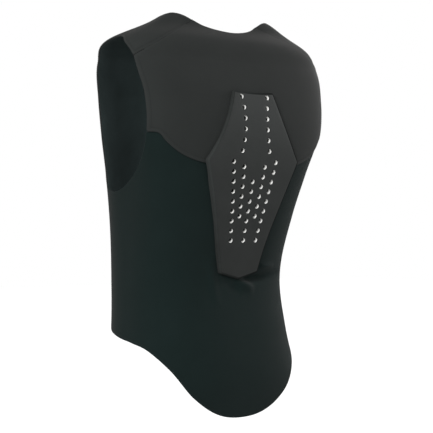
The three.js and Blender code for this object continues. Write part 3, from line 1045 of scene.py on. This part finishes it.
class FinishTree(NodeTree):
    """The node tree of one finish."""

    def __init__(self, name: str) -> None:
        """Makes the material, with its shader at hand.

        Args:
            name: Name of the material.
        """
        self.material = bpy.data.materials.new(name)
        self.material.use_nodes = True
        super().__init__(self.material.node_tree)
        self.shader = self.tree.nodes["Principled BSDF"]

    def maths(self, operation: str, *terms: Value | float) -> Value:
        """A Math node on values and numbers."""
        made = self.node("Math", {"operation": operation}, dict(enumerate(terms)))
        return Value(self, made.outputs[0])

    def place(self) -> bpy.types.NodeSocket:
        """The point in the frame of the vest."""
        return self.node("TexCoord").outputs["Object"]

    def coordinate(self, axis: str) -> Value:
        """Coordinate X, Y or Z in the frame of the vest, in metres."""
        return Value(self, self.node("SeparateXYZ", inputs={0: self.place()}).outputs[axis])

    def lengths(self) -> tuple[Value, Value]:
        """Lengths along the cut.

        Returns:
            The lengths across and down it, in metres.
        """
        cut = self.node("UVMap", {"uv_map": Surface.UV})
        parts = self.node("SeparateXYZ", inputs={0: cut.outputs["UV"]})
        return Value(self, parts.outputs["X"]), Value(self, parts.outputs["Y"])

    def border(self) -> Value:
        """Distance from the piece's edge, in metres."""
        return Value(self, self.node("Attribute", {"attribute_name": Surface.BORDER}).outputs["Fac"])

    def noise(self, size: float, detail: float = 3.0, roughness: float = 0.55) -> Value:
        """Cloudy noise whose patches are about the given size."""
        inputs = {"Vector": self.place(), "Scale": 1 / size, "Detail": detail, "Roughness": roughness}
        return Value(self, self.node("TexNoise", inputs=inputs).outputs[0])

    def wave(self, length: Value, pitch: float) -> Value:
        """A sine along a length, from -1 to 1 in each pitch."""
        return (length * (2 * math.pi / pitch)).maths("SINE")

    def mix(self, factor: Value, first: Colour, second: Colour) -> bpy.types.NodeSocket:
        """The first colour turning into the second: inputs 6 and 7 and output 2 are the node's colours."""
        return self.node("Mix", {"data_type": "RGBA"}, {0: factor, 6: first, 7: second}).outputs[2]

    def bump(self, height: Value, depth: float) -> bpy.types.NodeSocket:
        """A normal for relief whose height of 1 is the given depth."""
        return self.node("Bump", inputs={"Height": height, "Distance": depth}).outputs["Normal"]


BLACK: Colour = (0, 0, 0, 1)
WHITE: Colour = (1, 1, 1, 1)


class Weave(Enum):
    """How a cloth is made."""

    TWILL = "twill"
    KNIT = "knit"


@dataclass(frozen=True)
class ClothFinish:
    """A cloth: two close tones in clouds and yarns, a weave in relief, and edges rubbed a little paler.

    By the fade it is paler at its edge and darker past the fade's width inside it: painted light and painted
    shade.
    """

    name: str
    weave: Weave
    deep: Colour
    pale: Colour
    pitch: float
    depth: float
    roughness: float
    sheen: float
    specular: float
    fade: float = 0.0
    painted_shade_width: float = 0.08
    cloud: float = 0.05
    fibre: float = 0.0012
    rub_width: float = 0.003
    sheen_roughness: float = 0.5
    sheen_tint: Colour = (1.0, 0.88, 0.88, 1)

    def yarns(self, tree: FinishTree) -> Value:
        """Relief of the weave: sines that make slanting lines in a twill, and ribs of loops in a knit.

        Args:
            tree: Tree of the finish.

        Returns:
            Height of the yarns, from 0 to 1.
        """
        across, down = tree.lengths()
        if self.weave is Weave.TWILL:
            slanting = tree.wave(across + down, self.pitch)
            crossing = tree.wave(across - down, self.pitch / 2)
            return 0.5 + slanting * 0.35 + crossing * 0.15
        ribs = tree.wave(across, 2 * self.pitch).maths("ABSOLUTE")
        loops = tree.wave(down, 0.8 * self.pitch)
        return ribs * (0.8 + loops * 0.2)

    def material(self) -> bpy.types.Material:
        """Makes the finish: its tone is a weighted sum of clouds, fibres, yarns and rubbed edge, less the
        painted shade.

        Returns:
            The material.
        """
        tree = FinishTree(self.name)
        yarns = self.yarns(tree)
        clouds = tree.noise(self.cloud)
        fibres = tree.noise(self.fibre, detail=2.0)
        rubbed = (1 - tree.border() / self.rub_width).held()
        # Painted shade: darker away from the panel's edge and paler at it, as if the inside lay in shadow.
        inner_painted_shade = ((tree.border() / self.painted_shade_width).held() - 0.5) * self.fade
        tone = (clouds * 0.55 + fibres * 0.3 + yarns * 0.2 + rubbed * 0.1 - inner_painted_shade).held()
        tree.feed(tree.shader, {
            "Base Color": tree.mix(tone, self.deep, self.pale),
            "Roughness": self.roughness + (clouds - 0.5) * 0.1 - rubbed * 0.06,
            "Normal": tree.bump(yarns * 0.7 + fibres * 0.3, self.depth),
            "Sheen Weight": self.sheen,
            "Sheen Roughness": self.sheen_roughness,
            "Sheen Tint": self.sheen_tint,
            "Specular IOR Level": self.specular,
        })
        return tree.material


@dataclass(frozen=True)
class GrainFinish:
    """A moulded or foamed finish: fine pebbled grain in relief, and two tones in clouds.

    It grows paler by the rise towards the plate's head and by the lean towards its left: painted light and
    shade.
    """

    name: str
    deep: Colour
    pale: Colour
    grain: float
    depth: float
    roughness: float
    specular: float
    # rise and lean paint light and shade, by height on the plate and by side.
    rise: float = 0.0
    lean: float = 0.0
    cloud: float = 0.035
    grains_in_speck: float = 1.7
    softness: float = 0.6

    def material(self) -> bpy.types.Material:
        """Makes the finish: its tone sums clouds, specks and pebbles, with the painted shading of rise and
        lean.

        Returns:
            The material.
        """
        tree = FinishTree(self.name)
        cells = tree.node("TexVoronoi", {"feature": "SMOOTH_F1"},
                          {"Vector": tree.place(), "Scale": 1 / self.grain, "Smoothness": self.softness})
        pebbles = 1 - Value(tree, cells.outputs["Distance"])
        clouds = tree.noise(self.cloud)
        specks = tree.noise(self.grain * self.grains_in_speck, detail=2.0)
        # Painted light and shade: paler towards the plate's head and its left (+X), darker towards its tip
        # and right.
        upwards = (tree.coordinate("Z") - PLATE_MIDDLE) / PLATE_HALF_LENGTH * self.rise
        across = tree.coordinate("X") / PLATE_HALF_WIDTH * self.lean
        tone = (clouds * 0.6 + specks * 0.3 + pebbles * 0.2 - 0.1 + upwards + across).held()
        tree.feed(tree.shader, {
            "Base Color": tree.mix(tone, self.deep, self.pale),
            "Roughness": self.roughness + (clouds - 0.5) * 0.12 + (specks - 0.5) * 0.08,
            "Normal": tree.bump(pebbles * 0.7 + specks * 0.3, self.depth),
            "Specular IOR Level": self.specular,
        })
        return tree.material


YOKE_CLOTH = ClothFinish(
    "yoke_cloth", Weave.TWILL, deep=(0.0162, 0.0180, 0.0174, 1), pale=(0.0254, 0.0280, 0.0272, 1),
    pitch=0.0011, depth=0.00012, roughness=0.8, sheen=0.03, specular=0.05)
STRETCH_CLOTH = ClothFinish(
    "stretch_cloth", Weave.KNIT, deep=(0.0050, 0.0100, 0.0095, 1), pale=(0.0088, 0.0158, 0.0152, 1),
    pitch=0.0009, depth=0.00014, roughness=0.85, sheen=0.04, specular=0.04)
# The lining's fade paints shade deeper inside the vest and light at its openings.
LINING = ClothFinish(
    "lining", Weave.KNIT, deep=(0.0125, 0.0185, 0.0185, 1), pale=(0.0430, 0.0600, 0.0600, 1),
    pitch=0.0014, depth=0.00018, roughness=0.9, sheen=0.01, specular=0.04, fade=0.5)
ZIP_TAPE = ClothFinish(
    "zip_tape", Weave.TWILL, deep=(0.009, 0.010, 0.010, 1), pale=(0.018, 0.019, 0.019, 1),
    pitch=0.0008, depth=0.00012, roughness=0.8, sheen=0.05, specular=0.2)
THREAD = ClothFinish(
    "thread", Weave.TWILL, deep=(0.005, 0.0056, 0.0056, 1), pale=(0.010, 0.011, 0.011, 1),
    pitch=0.0004, depth=0.00004, roughness=0.7, sheen=0.02, specular=0.1)
# The plate's face: its rise paints light on the upper end and shade on the lower end.
PLATE_SKIN_PAINTED_SHADING = GrainFinish(
    "plate_skin", deep=(0.0158, 0.0173, 0.0167, 1), pale=(0.0302, 0.0330, 0.0321, 1),
    grain=0.0009, depth=0.00010, roughness=0.55, specular=0.15, rise=0.3)
# A darker copy of the face for the round edge and wall: its lean paints light on the left side and shade on
# the right edges.
PLATE_EDGE_PAINTED_SHADING = GrainFinish(
    "plate_edge_painted_shading", deep=(0.0060, 0.0066, 0.0064, 1), pale=(0.0305, 0.0334, 0.0325, 1),
    grain=0.0009, depth=0.00010, roughness=0.6, specular=0.0, lean=0.6)
# Dark finish of the holes' lower walls: painted shade deep in the holes, below the pale foam.
HOLE_DEEP_PAINTED_SHADE = GrainFinish(
    "hole_deep_painted_shade", deep=(0.0130, 0.0142, 0.0138, 1), pale=(0.0230, 0.0250, 0.0244, 1),
    grain=0.0009, depth=0.00010, roughness=0.6, specular=0.0)
PLATE_FOAM = GrainFinish(
    "foam", deep=(0.80, 0.80, 0.78, 1), pale=(0.92, 0.92, 0.90, 1),
    grain=0.0006, depth=0.00015, roughness=0.9, specular=0.2)
ZIP_COIL = GrainFinish(
    "zip_coil", deep=(0.010, 0.011, 0.011, 1), pale=(0.020, 0.021, 0.021, 1),
    grain=0.0005, depth=0.00003, roughness=0.38, specular=0.3)


class HoleColumn(NamedTuple):
    """A pair of mirrored columns of holes, or one column where half is 0.

    The half-spacing is half + taper * i + bow * (i - waist) squared for the hole number i.
    """

    count: int
    top: float
    pitch: float
    half: float
    taper: float = 0.0
    bow: float = 0.0
    waist: float = 0.0


HOLE_COLUMNS = (
    HoleColumn(6, -0.141, 0.0173, 0.0232, bow=0.00075, waist=2.3),
    HoleColumn(9, -0.245, 0.0157, 0.0447, taper=-0.00228),
    HoleColumn(6, -0.2529, 0.0157, 0.022, taper=-0.0011),
    HoleColumn(7, -0.2764, 0.0157, 0.0),
)
HOLE_RADIUS = 0.0038

PLATE_FACE = (
    (-0.120, 0.084), (-0.141, 0.089), (-0.176, 0.094), (-0.211, 0.0945), (-0.245, 0.0905), (-0.309, 0.0765),
    (-0.371, 0.061), (-0.425, 0.0515), (-0.436, 0.0498),
)


@dataclass(frozen=True)
class SpinePlate:
    """The long plate over the spine: a thin dark skin wrapped over a pale foam core, both perforated.

    Everything is worked out over the plane x, z, and y follows from the plate's face or the cloth below it.
    """

    form: WornForm
    top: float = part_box("plate_skin")[1].z + PLATE_HEAD
    bottom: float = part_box("plate_skin")[0].z + PLATE_TIP
    half_widest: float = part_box("plate_skin")[1].x
    widest: float = -0.243
    half_top: float = 0.042
    half_bottom: float = 0.0395
    upper_hollow: float = 0.005
    lower_hollow: float = 0.003
    sag: float = 0.0015
    edge_round: float = 0.0028
    corner_round: float = 0.0016
    top_dip: float = 0.002
    skin: float = 0.00045
    core_gap: float = 0.0001
    pale_depth: float = 0.0046
    seat: float = 0.0004
    end_lift: float = 0.0012
    end_length: float = 0.045
    hole_round: float = 0.00025
    hole_sides: int = 28
    hole_splay: float = 4.0
    hole_lean: float = 0.3
    lean_top: float = -0.160
    lean_length: float = 0.100
    yoke_margin: float = 0.004
    yoke_fade: float = 0.030
    pale_most: float = 0.98
    seat_step: float = 0.0005
    face_step: float = 0.001
    edge_steps: int = 7
    hole_steps: int = 4
    flank_points: int = 400
    head_points: int = 60
    tip_points: int = 61
    outline_points: int = 420
    spacing: float = 0.0035
    joined_within: float = 1e-7
    weld: float = 2e-6

    def face(self, x: Array, z: Array) -> Array:
        """Depth y of the outer face, which sags a little towards its sides."""
        table = np.array(PLATE_FACE)
        return cubic_table(table[:, 0], table[:, 1], z) - self.sag * (x / self.half_widest) ** 2

    def cloth(self, x: Array, z: Array) -> Array:
        """Depth of the seat, just clear of the cloth: worn back, padding along its normal, lift at the end.

        Args:
            x: Places to the side.
            z: Heights, where the padding fades out from a margin below the yoke seam.

        Returns:
            Depth y at each place.
        """
        slope_x, slope_z = slopes(self.form.back_depth, x, z, self.seat_step)
        pad = YOKE_PAD * (1 - smooth((YOKE_ROWS[-1][1] - self.yoke_margin - z) / self.yoke_fade))
        lift = self.end_lift * smooth((self.bottom + self.end_length - z) / self.end_length)
        return self.form.back_depth(x, z) + pad * np.sqrt(1 + slope_x**2 + slope_z**2) + lift + self.seat

    def half_width(self, z: Array) -> Array:
        """Half-width of the outline: two flanks that meet at the widest line, each hollow by a parabola.

        Args:
            z: Heights.

        Returns:
            Half-width at each height.
        """
        upper = z > self.widest
        end = np.where(upper, self.top, self.bottom)
        half = np.where(upper, self.half_top, self.half_bottom)
        hollow = np.where(upper, self.upper_hollow, self.lower_hollow)
        t = (z - self.widest) / (end - self.widest)
        return self.half_widest + (half - self.half_widest) * t - 4 * hollow * t * (1 - t)

    def lower_edge(self, x: Array) -> Array:
        """Height z of the lower edge, which falls straight from both corners to a blunt point."""
        return self.bottom - PLATE_TIP * (1 - np.abs(x) / self.half_bottom)

    def outline(self, inset: float) -> Array:
        """The outline, seen from behind and walked against the clock, with rounded corners.

        A sharp outline is cut into equal steps, each point takes the mean of its neighbours within the
        corner's rounding, and the line then moves inwards, square to itself.

        Args:
            inset: Distance inwards.

        Returns:
            Rows of x, z.
        """
        z = np.linspace(self.top, self.bottom, self.flank_points)
        left = np.stack([self.half_width(z), z], -1)
        right = (left * [-1, 1])[::-1]
        x = np.linspace(-self.half_top, self.half_top, self.head_points)
        dipped = np.stack([x, self.top - self.top_dip * (1 - (x / self.half_top) ** 2)], -1)
        across = np.linspace(self.half_bottom, -self.half_bottom, self.tip_points)
        pointed = np.stack([across, self.lower_edge(across)], -1)
        sharp = np.vstack([left, pointed[1:-1], right, dipped[1:]])
        known = reached(sharp)
        line = read_rows(np.linspace(0, known[-1], self.outline_points, endpoint=False), known, sharp)
        reach = round(self.corner_round / (known[-1] / self.outline_points))
        line = np.mean([np.roll(line, k, axis=0) for k in range(-reach, reach + 1)], axis=0)
        along = unit(np.roll(line, -1, 0) - np.roll(line, 1, 0))
        return line + inset * np.stack([along[:, 1], -along[:, 0]], -1)

    def hole_centres(self) -> Array:
        """Centres of the holes on the face.

        Returns:
            Rows of x, z.
        """
        centres = []
        for column in HOLE_COLUMNS:
            i = np.arange(column.count)
            half = column.half + column.taper * i + column.bow * (i - column.waist) ** 2
            z = column.top - column.pitch * i
            sides = (1, -1) if column.half else (1,)
            centres.extend(np.stack([side * half, z], -1) for side in sides)
        return np.vstack(centres)

    def hole_rings(self, radius: float, depth: Array | float) -> Array:
        """Circles about the holes' axes, which splay outwards, and point down a little in the lower rows.

        An axis starts square to the face, and moves by its drift for each unit of depth.

        Args:
            radius: The circles' radius.
            depth: Depth along y below the face, for every hole or for each.

        Returns:
            Array of holes, points and x, z.
        """
        centres = self.hole_centres()
        x, z = centres.T
        slope_x, slope_z = slopes(self.face, x, z, self.face_step)
        lean = self.hole_lean * smooth((self.lean_top - z) / self.lean_length)
        drift = np.stack([slope_x - self.hole_splay * x, slope_z + lean], -1)
        shifted = centres + np.broadcast_to(depth, len(x))[:, None] * drift
        angle = np.linspace(0, 2 * np.pi, self.hole_sides, endpoint=False)
        circle = radius * np.stack([np.cos(angle), np.sin(angle)], -1)
        return shifted[:, None] + circle[None]

    def perforated(self, outline: Array, rings: Array) -> tuple[Array, Array]:
        """A flat triangulation inside an outline and outside the holes.

        It is the constrained Delaunay one of both borders and of a lattice of loose points between them,
        without the triangles whose middles lie in a hole.

        Args:
            outline: Rows of x, z.
            rings: Array of holes, points and x, z.

        Returns:
            Points x, z, and triangles that face +Y.
        """
        count = len(outline)
        loops = [np.arange(count)]
        loops += list(count + np.arange(rings.shape[0] * rings.shape[1]).reshape(rings.shape[:2]))
        borders = np.vstack([np.stack([loop, np.roll(loop, -1)], -1) for loop in loops])
        centres = rings.mean(1)
        radius = np.linalg.norm(rings[0, 0] - centres[0])
        low, high = outline.min(0), outline.max(0)
        rows = np.arange(low[1], high[1], self.spacing)
        columns = np.arange(low[0], high[0], self.spacing)
        x, z = np.meshgrid(columns, rows)
        x[1::2] += self.spacing / 2
        loose = np.stack([x.ravel(), z.ravel()], -1)
        inner = np.abs(loose[:, 0]) < self.half_width(loose[:, 1]) - 2 * self.spacing
        above_end = loose[:, 1] > self.lower_edge(loose[:, 0]) + 2 * self.spacing
        level = above_end & (loose[:, 1] < high[1] - self.spacing)
        clear = np.linalg.norm(loose[:, None] - centres[None], axis=-1).min(1) > radius + self.spacing / 2
        given = np.vstack([outline, rings.reshape(-1, 2), loose[inner & level & clear]])
        corners = [Vector(point) for point in given]
        found = delaunay_2d_cdt(corners, borders.tolist(), [], 1, self.joined_within)
        points = np.array([tuple(point) for point in found[0]])
        triangles = np.array(found[2])
        middles = points[triangles].mean(1)
        flat_of_ring = radius * math.cos(math.pi / self.hole_sides)
        outside = np.linalg.norm(middles[:, None] - centres[None], axis=-1).min(1) > flat_of_ring
        return points, triangles[outside][:, ::-1]

    def below_face(self, line: Array, drop: float) -> Ring:
        """A line or rings of x, z, with their depth y at a drop below the face."""
        return line, self.face(line[..., 0], line[..., 1]) - drop

    def on_cloth(self, line: Array) -> Ring:
        """A line or rings of x, z, with their depth y on the seat."""
        return line, self.cloth(line[..., 0], line[..., 1])

    def add_sheet(self, surface: Surface, outline: Array, rings: Array, depth: Depth,
                  flipped: bool = False) -> None:
        """Adds a perforated sheet.

        Args:
            surface: Surface that takes it.
            outline: Its outline, as rows of x, z.
            rings: Its holes, as an array of holes, points and x, z.
            depth: Its depth y, as a function of x and z.
            flipped: Whether it faces the wearer.
        """
        flat, triangles = self.perforated(outline, rings)
        points = np.stack([flat[:, 0], depth(flat[:, 0], flat[:, 1]), flat[:, 1]], -1)
        surface.add(points, triangles[:, ::-1] if flipped else triangles, flat)

    def add_walls(self, surface: Surface, rings: list[Ring], finish: int = 0) -> None:
        """Adds the walls between rings that follow one another, about the outline or about every hole.

        Args:
            surface: Surface that takes them.
            rings: Lines of x, z with their depths y. Lines of the holes have one more axis, for the hole.
            finish: Number of the material that the walls take.
        """
        points = np.stack([np.stack([line[..., 0], y, line[..., 1]], -1) for line, y in rings], axis=-3)
        steps, around = points.shape[-3:-1]
        flat = points.reshape(-1, 3)
        starts = np.arange(0, len(flat), steps * around)
        faces = (starts[:, None, None] + ring_faces(steps, around)).reshape(-1, 4)
        surface.add(flat, faces, flat[:, ::2], finish=finish)

    def skin_piece(self, face: bpy.types.Material, edge: bpy.types.Material) -> bpy.types.Object:
        """The skin: a perforated sheet, its round edge and wall carried about the outline, and its back.

        Args:
            face: Finish of the face, its back and the holes' rims; its rise is painted light and shade.
            edge: Finish of the round edge and the wall: painted light on the left side, painted shade on the
                right.

        Returns:
            The piece.
        """
        surface = Surface()
        rings = []
        for turn in np.linspace(0, np.pi / 2, self.edge_steps):
            line = self.outline(self.edge_round * (1 - math.sin(turn)))
            rings.append(self.below_face(line, self.edge_round * (1 - math.cos(turn))))
        rim, inner, under = self.outline(0), self.outline(self.skin), self.outline(self.edge_round)
        seated = self.on_cloth(rim)
        rings.append((rim, (self.below_face(rim, self.edge_round)[1] + seated[1]) / 2))
        rings.append(seated)
        rings.append(self.on_cloth(inner))
        rings.append(self.below_face(inner, self.edge_round + self.skin))
        rings.append(self.below_face(under, self.skin))
        self.add_walls(surface, rings, 1)

        hole_rings = []
        for turn in np.linspace(0, np.pi / 2, self.hole_steps):
            ring = self.hole_rings(HOLE_RADIUS + self.hole_round * (1 - math.sin(turn)), 0.0)
            hole_rings.append(self.below_face(ring, self.hole_round * (1 - math.cos(turn))))
        last = self.hole_rings(HOLE_RADIUS, self.skin)
        hole_rings.append(self.below_face(last, self.skin))
        self.add_walls(surface, hole_rings)
        self.add_sheet(surface, under, hole_rings[0][0], self.face)
        self.add_sheet(surface, under, last, lambda x, z: self.face(x, z) - self.skin, flipped=True)
        made = surface.piece("plate_skin", [face, edge], weld=self.weld)
        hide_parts("plate_skin")
        return made

    def core_piece(self, foam: bpy.types.Material, deep: bpy.types.Material) -> bpy.types.Object:
        """The foam core, which shows as the walls of the holes: pale foam above, and painted shade below it.

        Args:
            foam: Finish of the pale foam.
            deep: Finish of the holes' lower walls, a painted shade.

        Returns:
            The piece.
        """
        surface = Surface()
        depth = self.skin + self.core_gap
        top, shoulder = self.outline(self.edge_round), self.outline(depth)
        rings = [
            self.below_face(top, depth),
            self.below_face(shoulder, self.edge_round + depth),
            self.on_cloth(shoulder),
        ]
        self.add_walls(surface, rings)
        x, z = self.hole_centres().T
        thickness = self.face(x, z) - self.cloth(x, z)
        # Share of each hole's wall that is pale foam; below it the wall takes the painted shade.
        pale = np.minimum((self.pale_depth - depth) / (thickness - depth), self.pale_most)
        hole_rings = []
        for share in (np.zeros_like(pale), pale, np.ones_like(pale)):
            ring = self.hole_rings(HOLE_RADIUS, depth + share * (thickness - depth))
            upper, lower = self.below_face(ring, depth)[1], self.on_cloth(ring)[1]
            hole_rings.append((ring, upper + share[:, None] * (lower - upper)))
        self.add_walls(surface, hole_rings[:2])
        self.add_walls(surface, hole_rings[1:], 1)
        self.add_sheet(surface, top, hole_rings[0][0], lambda px, pz: self.face(px, pz) - depth)
        self.add_sheet(surface, shoulder, hole_rings[-1][0], self.cloth, flipped=True)
        made = surface.piece("plate_core", [foam, deep], weld=self.weld)
        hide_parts("plate_core")
        return made


class Lamp(NamedTuple):
    """A soft rectangular light: where it stands about the vest, its size and its power in watts."""

    name: str
    azimuth: float
    elevation: float
    distance: float
    width: float
    height: float
    watts: float


LAMPS = (
    Lamp("key", 118, 22, 2.6, 0.8, 0.8, 53),
    Lamp("back", 262, 14, 2.4, 0.9, 0.9, 32),
    Lamp("rim", 290, 25, 2.4, 0.5, 1.0, 15),
)


@dataclass(frozen=True)
class Stage:
    """Floor, soft lights and the camera at the photograph's angle."""

    centre: tuple[float, float, float] = (0.0, -0.006, -0.332)
    camera_azimuth: float = 140.0
    camera_distance: float = 2.35
    lens: float = 118.4
    sensor: float = 36.0
    floor_z: float = -1.15
    floor_half: float = 12.0
    floor_cloud: float = 0.4
    floor_deep: Colour = (0.54, 0.54, 0.54, 1)
    floor_pale: Colour = (0.58, 0.58, 0.58, 1)
    floor_glow: float = 0.72
    surround: float = 0.70

    def spot(self, azimuth: float, elevation: float, distance: float) -> Vector:
        """A point about the centre.

        Args:
            azimuth: Degrees round from the wearer's front towards the wearer's left.
            elevation: Degrees above the level of the centre.
            distance: Distance from the centre.

        Returns:
            The point.
        """
        a, e = math.radians(azimuth), math.radians(elevation)
        out = Vector((math.sin(a) * math.cos(e), -math.cos(a) * math.cos(e), math.sin(e)))
        return Vector(self.centre) + distance * out

    def aim(self, thing: bpy.types.Object, place: Vector) -> None:
        """Puts a light or camera at a place, turned to the centre.

        Args:
            thing: The light or camera.
            place: Where it stands.
        """
        bpy.context.scene.collection.objects.link(thing)
        thing.location = place
        thing.rotation_euler = (Vector(self.centre) - place).to_track_quat("-Z", "Y").to_euler()

    def camera(self) -> None:
        """Level camera behind the wearer's left shoulder."""
        data = bpy.data.cameras.new("camera")
        data.sensor_width = self.sensor
        data.lens = self.lens
        made = bpy.data.objects.new("camera", data)
        self.aim(made, self.spot(self.camera_azimuth, 0, self.camera_distance))
        bpy.context.scene.camera = made

    def light(self, lamp: Lamp) -> None:
        """Sets up a lamp, turned to the centre.

        Args:
            lamp: Its place, size and power.
        """
        data = bpy.data.lights.new(lamp.name, "AREA")
        data.shape = "RECTANGLE"
        data.size, data.size_y = lamp.width, lamp.height
        data.energy = lamp.watts
        made = bpy.data.objects.new(lamp.name, data)
        self.aim(made, self.spot(lamp.azimuth, lamp.elevation, lamp.distance))

    def floor(self) -> None:
        """A wide pale floor below the vest, which glows only for the camera and so throws little light up."""
        half, z = self.floor_half, self.floor_z
        corners = [(-half, -half, z), (half, -half, z), (half, half, z), (-half, half, z)]
        mesh = bpy.data.meshes.new("floor")
        mesh.from_pydata(corners, [], [(0, 1, 2, 3)])
        tree = FinishTree("floor")
        grey = tree.noise(self.floor_cloud)
        seen = Value(tree, tree.node("LightPath").outputs["Is Camera Ray"])
        tree.feed(tree.shader, {
            "Base Color": tree.mix(grey, self.floor_deep, self.floor_pale),
            "Roughness": 0.9,
            "Specular IOR Level": 0.1,
            "Emission Color": tree.mix(seen, BLACK, WHITE),
            "Emission Strength": self.floor_glow,
        })
        mesh.materials.append(tree.material)
        made = bpy.data.objects.new("floor", mesh)
        bpy.context.scene.collection.objects.link(made)

    def world(self) -> None:
        """White surroundings, which light the vest more softly than they look."""
        world = bpy.data.worlds.new("studio")
        world.use_nodes = True
        bpy.context.scene.world = world
        tree = NodeTree(world.node_tree)
        lit = world.node_tree.nodes["Background"]
        tree.feed(lit, {"Color": WHITE, "Strength": self.surround})
        seen = tree.node("Background", inputs={"Color": WHITE})
        camera_ray = tree.node("LightPath").outputs["Is Camera Ray"]
        mixed = tree.node("MixShader", inputs={0: camera_ray, 1: lit.outputs[0], 2: seen.outputs[0]})
        tree.feed(world.node_tree.nodes["World Output"], {"Surface": mixed.outputs[0]})
        bpy.context.scene.view_settings.view_transform = "Standard"


def main() -> None:
    """Builds the vest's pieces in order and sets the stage."""
    logging.basicConfig(level=logging.INFO, format="%(message)s")
    form = WornForm()
    pattern = Pattern(form)
    front_patch = pattern.front_left()
    yoke_panel = Yoke("upper_back", form, pattern.yoke(), columns=160, rows=90)
    lower_panel = LowerBody("lower_body", form, pattern.lower_body(), columns=300, rows=140)
    left_panel = ClothPanel("front_left", form, front_patch, columns=64, rows=150)
    right_panel = ClothPanel("front_right", form, front_patch.mirrored(), columns=64, rows=150)
    zip_panel = ClothPanel("front_zip", form, pattern.zip_strip(), columns=12, rows=160)

    yoke_cloth, stretch_cloth, lining = YOKE_CLOTH.material(), STRETCH_CLOTH.material(), LINING.material()
    yoke = yoke_panel.build(yoke_cloth, lining)
    lower = lower_panel.build(stretch_cloth, lining)
    fronts = [panel.build(yoke_cloth, lining) for panel in (left_panel, right_panel)]
    zip_strip = zip_panel.build(ZIP_TAPE.material(), lining)
    teeth = ZipTeeth(form).build(ZIP_COIL.material())
    sewn = [(panel, edge) for panel in (left_panel, right_panel) for edge in Edge]
    sewn += [(panel, edge) for panel in (yoke_panel, lower_panel) for edge in Edge if edge is not Edge.TOP]
    shoulder = pattern.shoulder_seam()
    stitches = Stitching(form).build(sewn, [shoulder, mirrored(shoulder)[::-1]], THREAD.material())
    plate = SpinePlate(form)
    skin = plate.skin_piece(PLATE_SKIN_PAINTED_SHADING.material(), PLATE_EDGE_PAINTED_SHADING.material())
    core = plate.core_piece(PLATE_FOAM.material(), HOLE_DEEP_PAINTED_SHADE.material())

    slots = {
        "yoke_cloth": [yoke, *fronts, stitches],
        "stretch_cloth": [lower],
        "zip": [zip_strip, teeth],
        "foam": [core],
        "plate_skin": [skin],
    }
    for slot, pieces in slots.items():
        for piece in pieces:
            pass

    stage = Stage()
    stage.camera()
    for lamp in LAMPS:
        stage.light(lamp)
    stage.floor()
    stage.world()


if __name__ == "__main__":
    main()
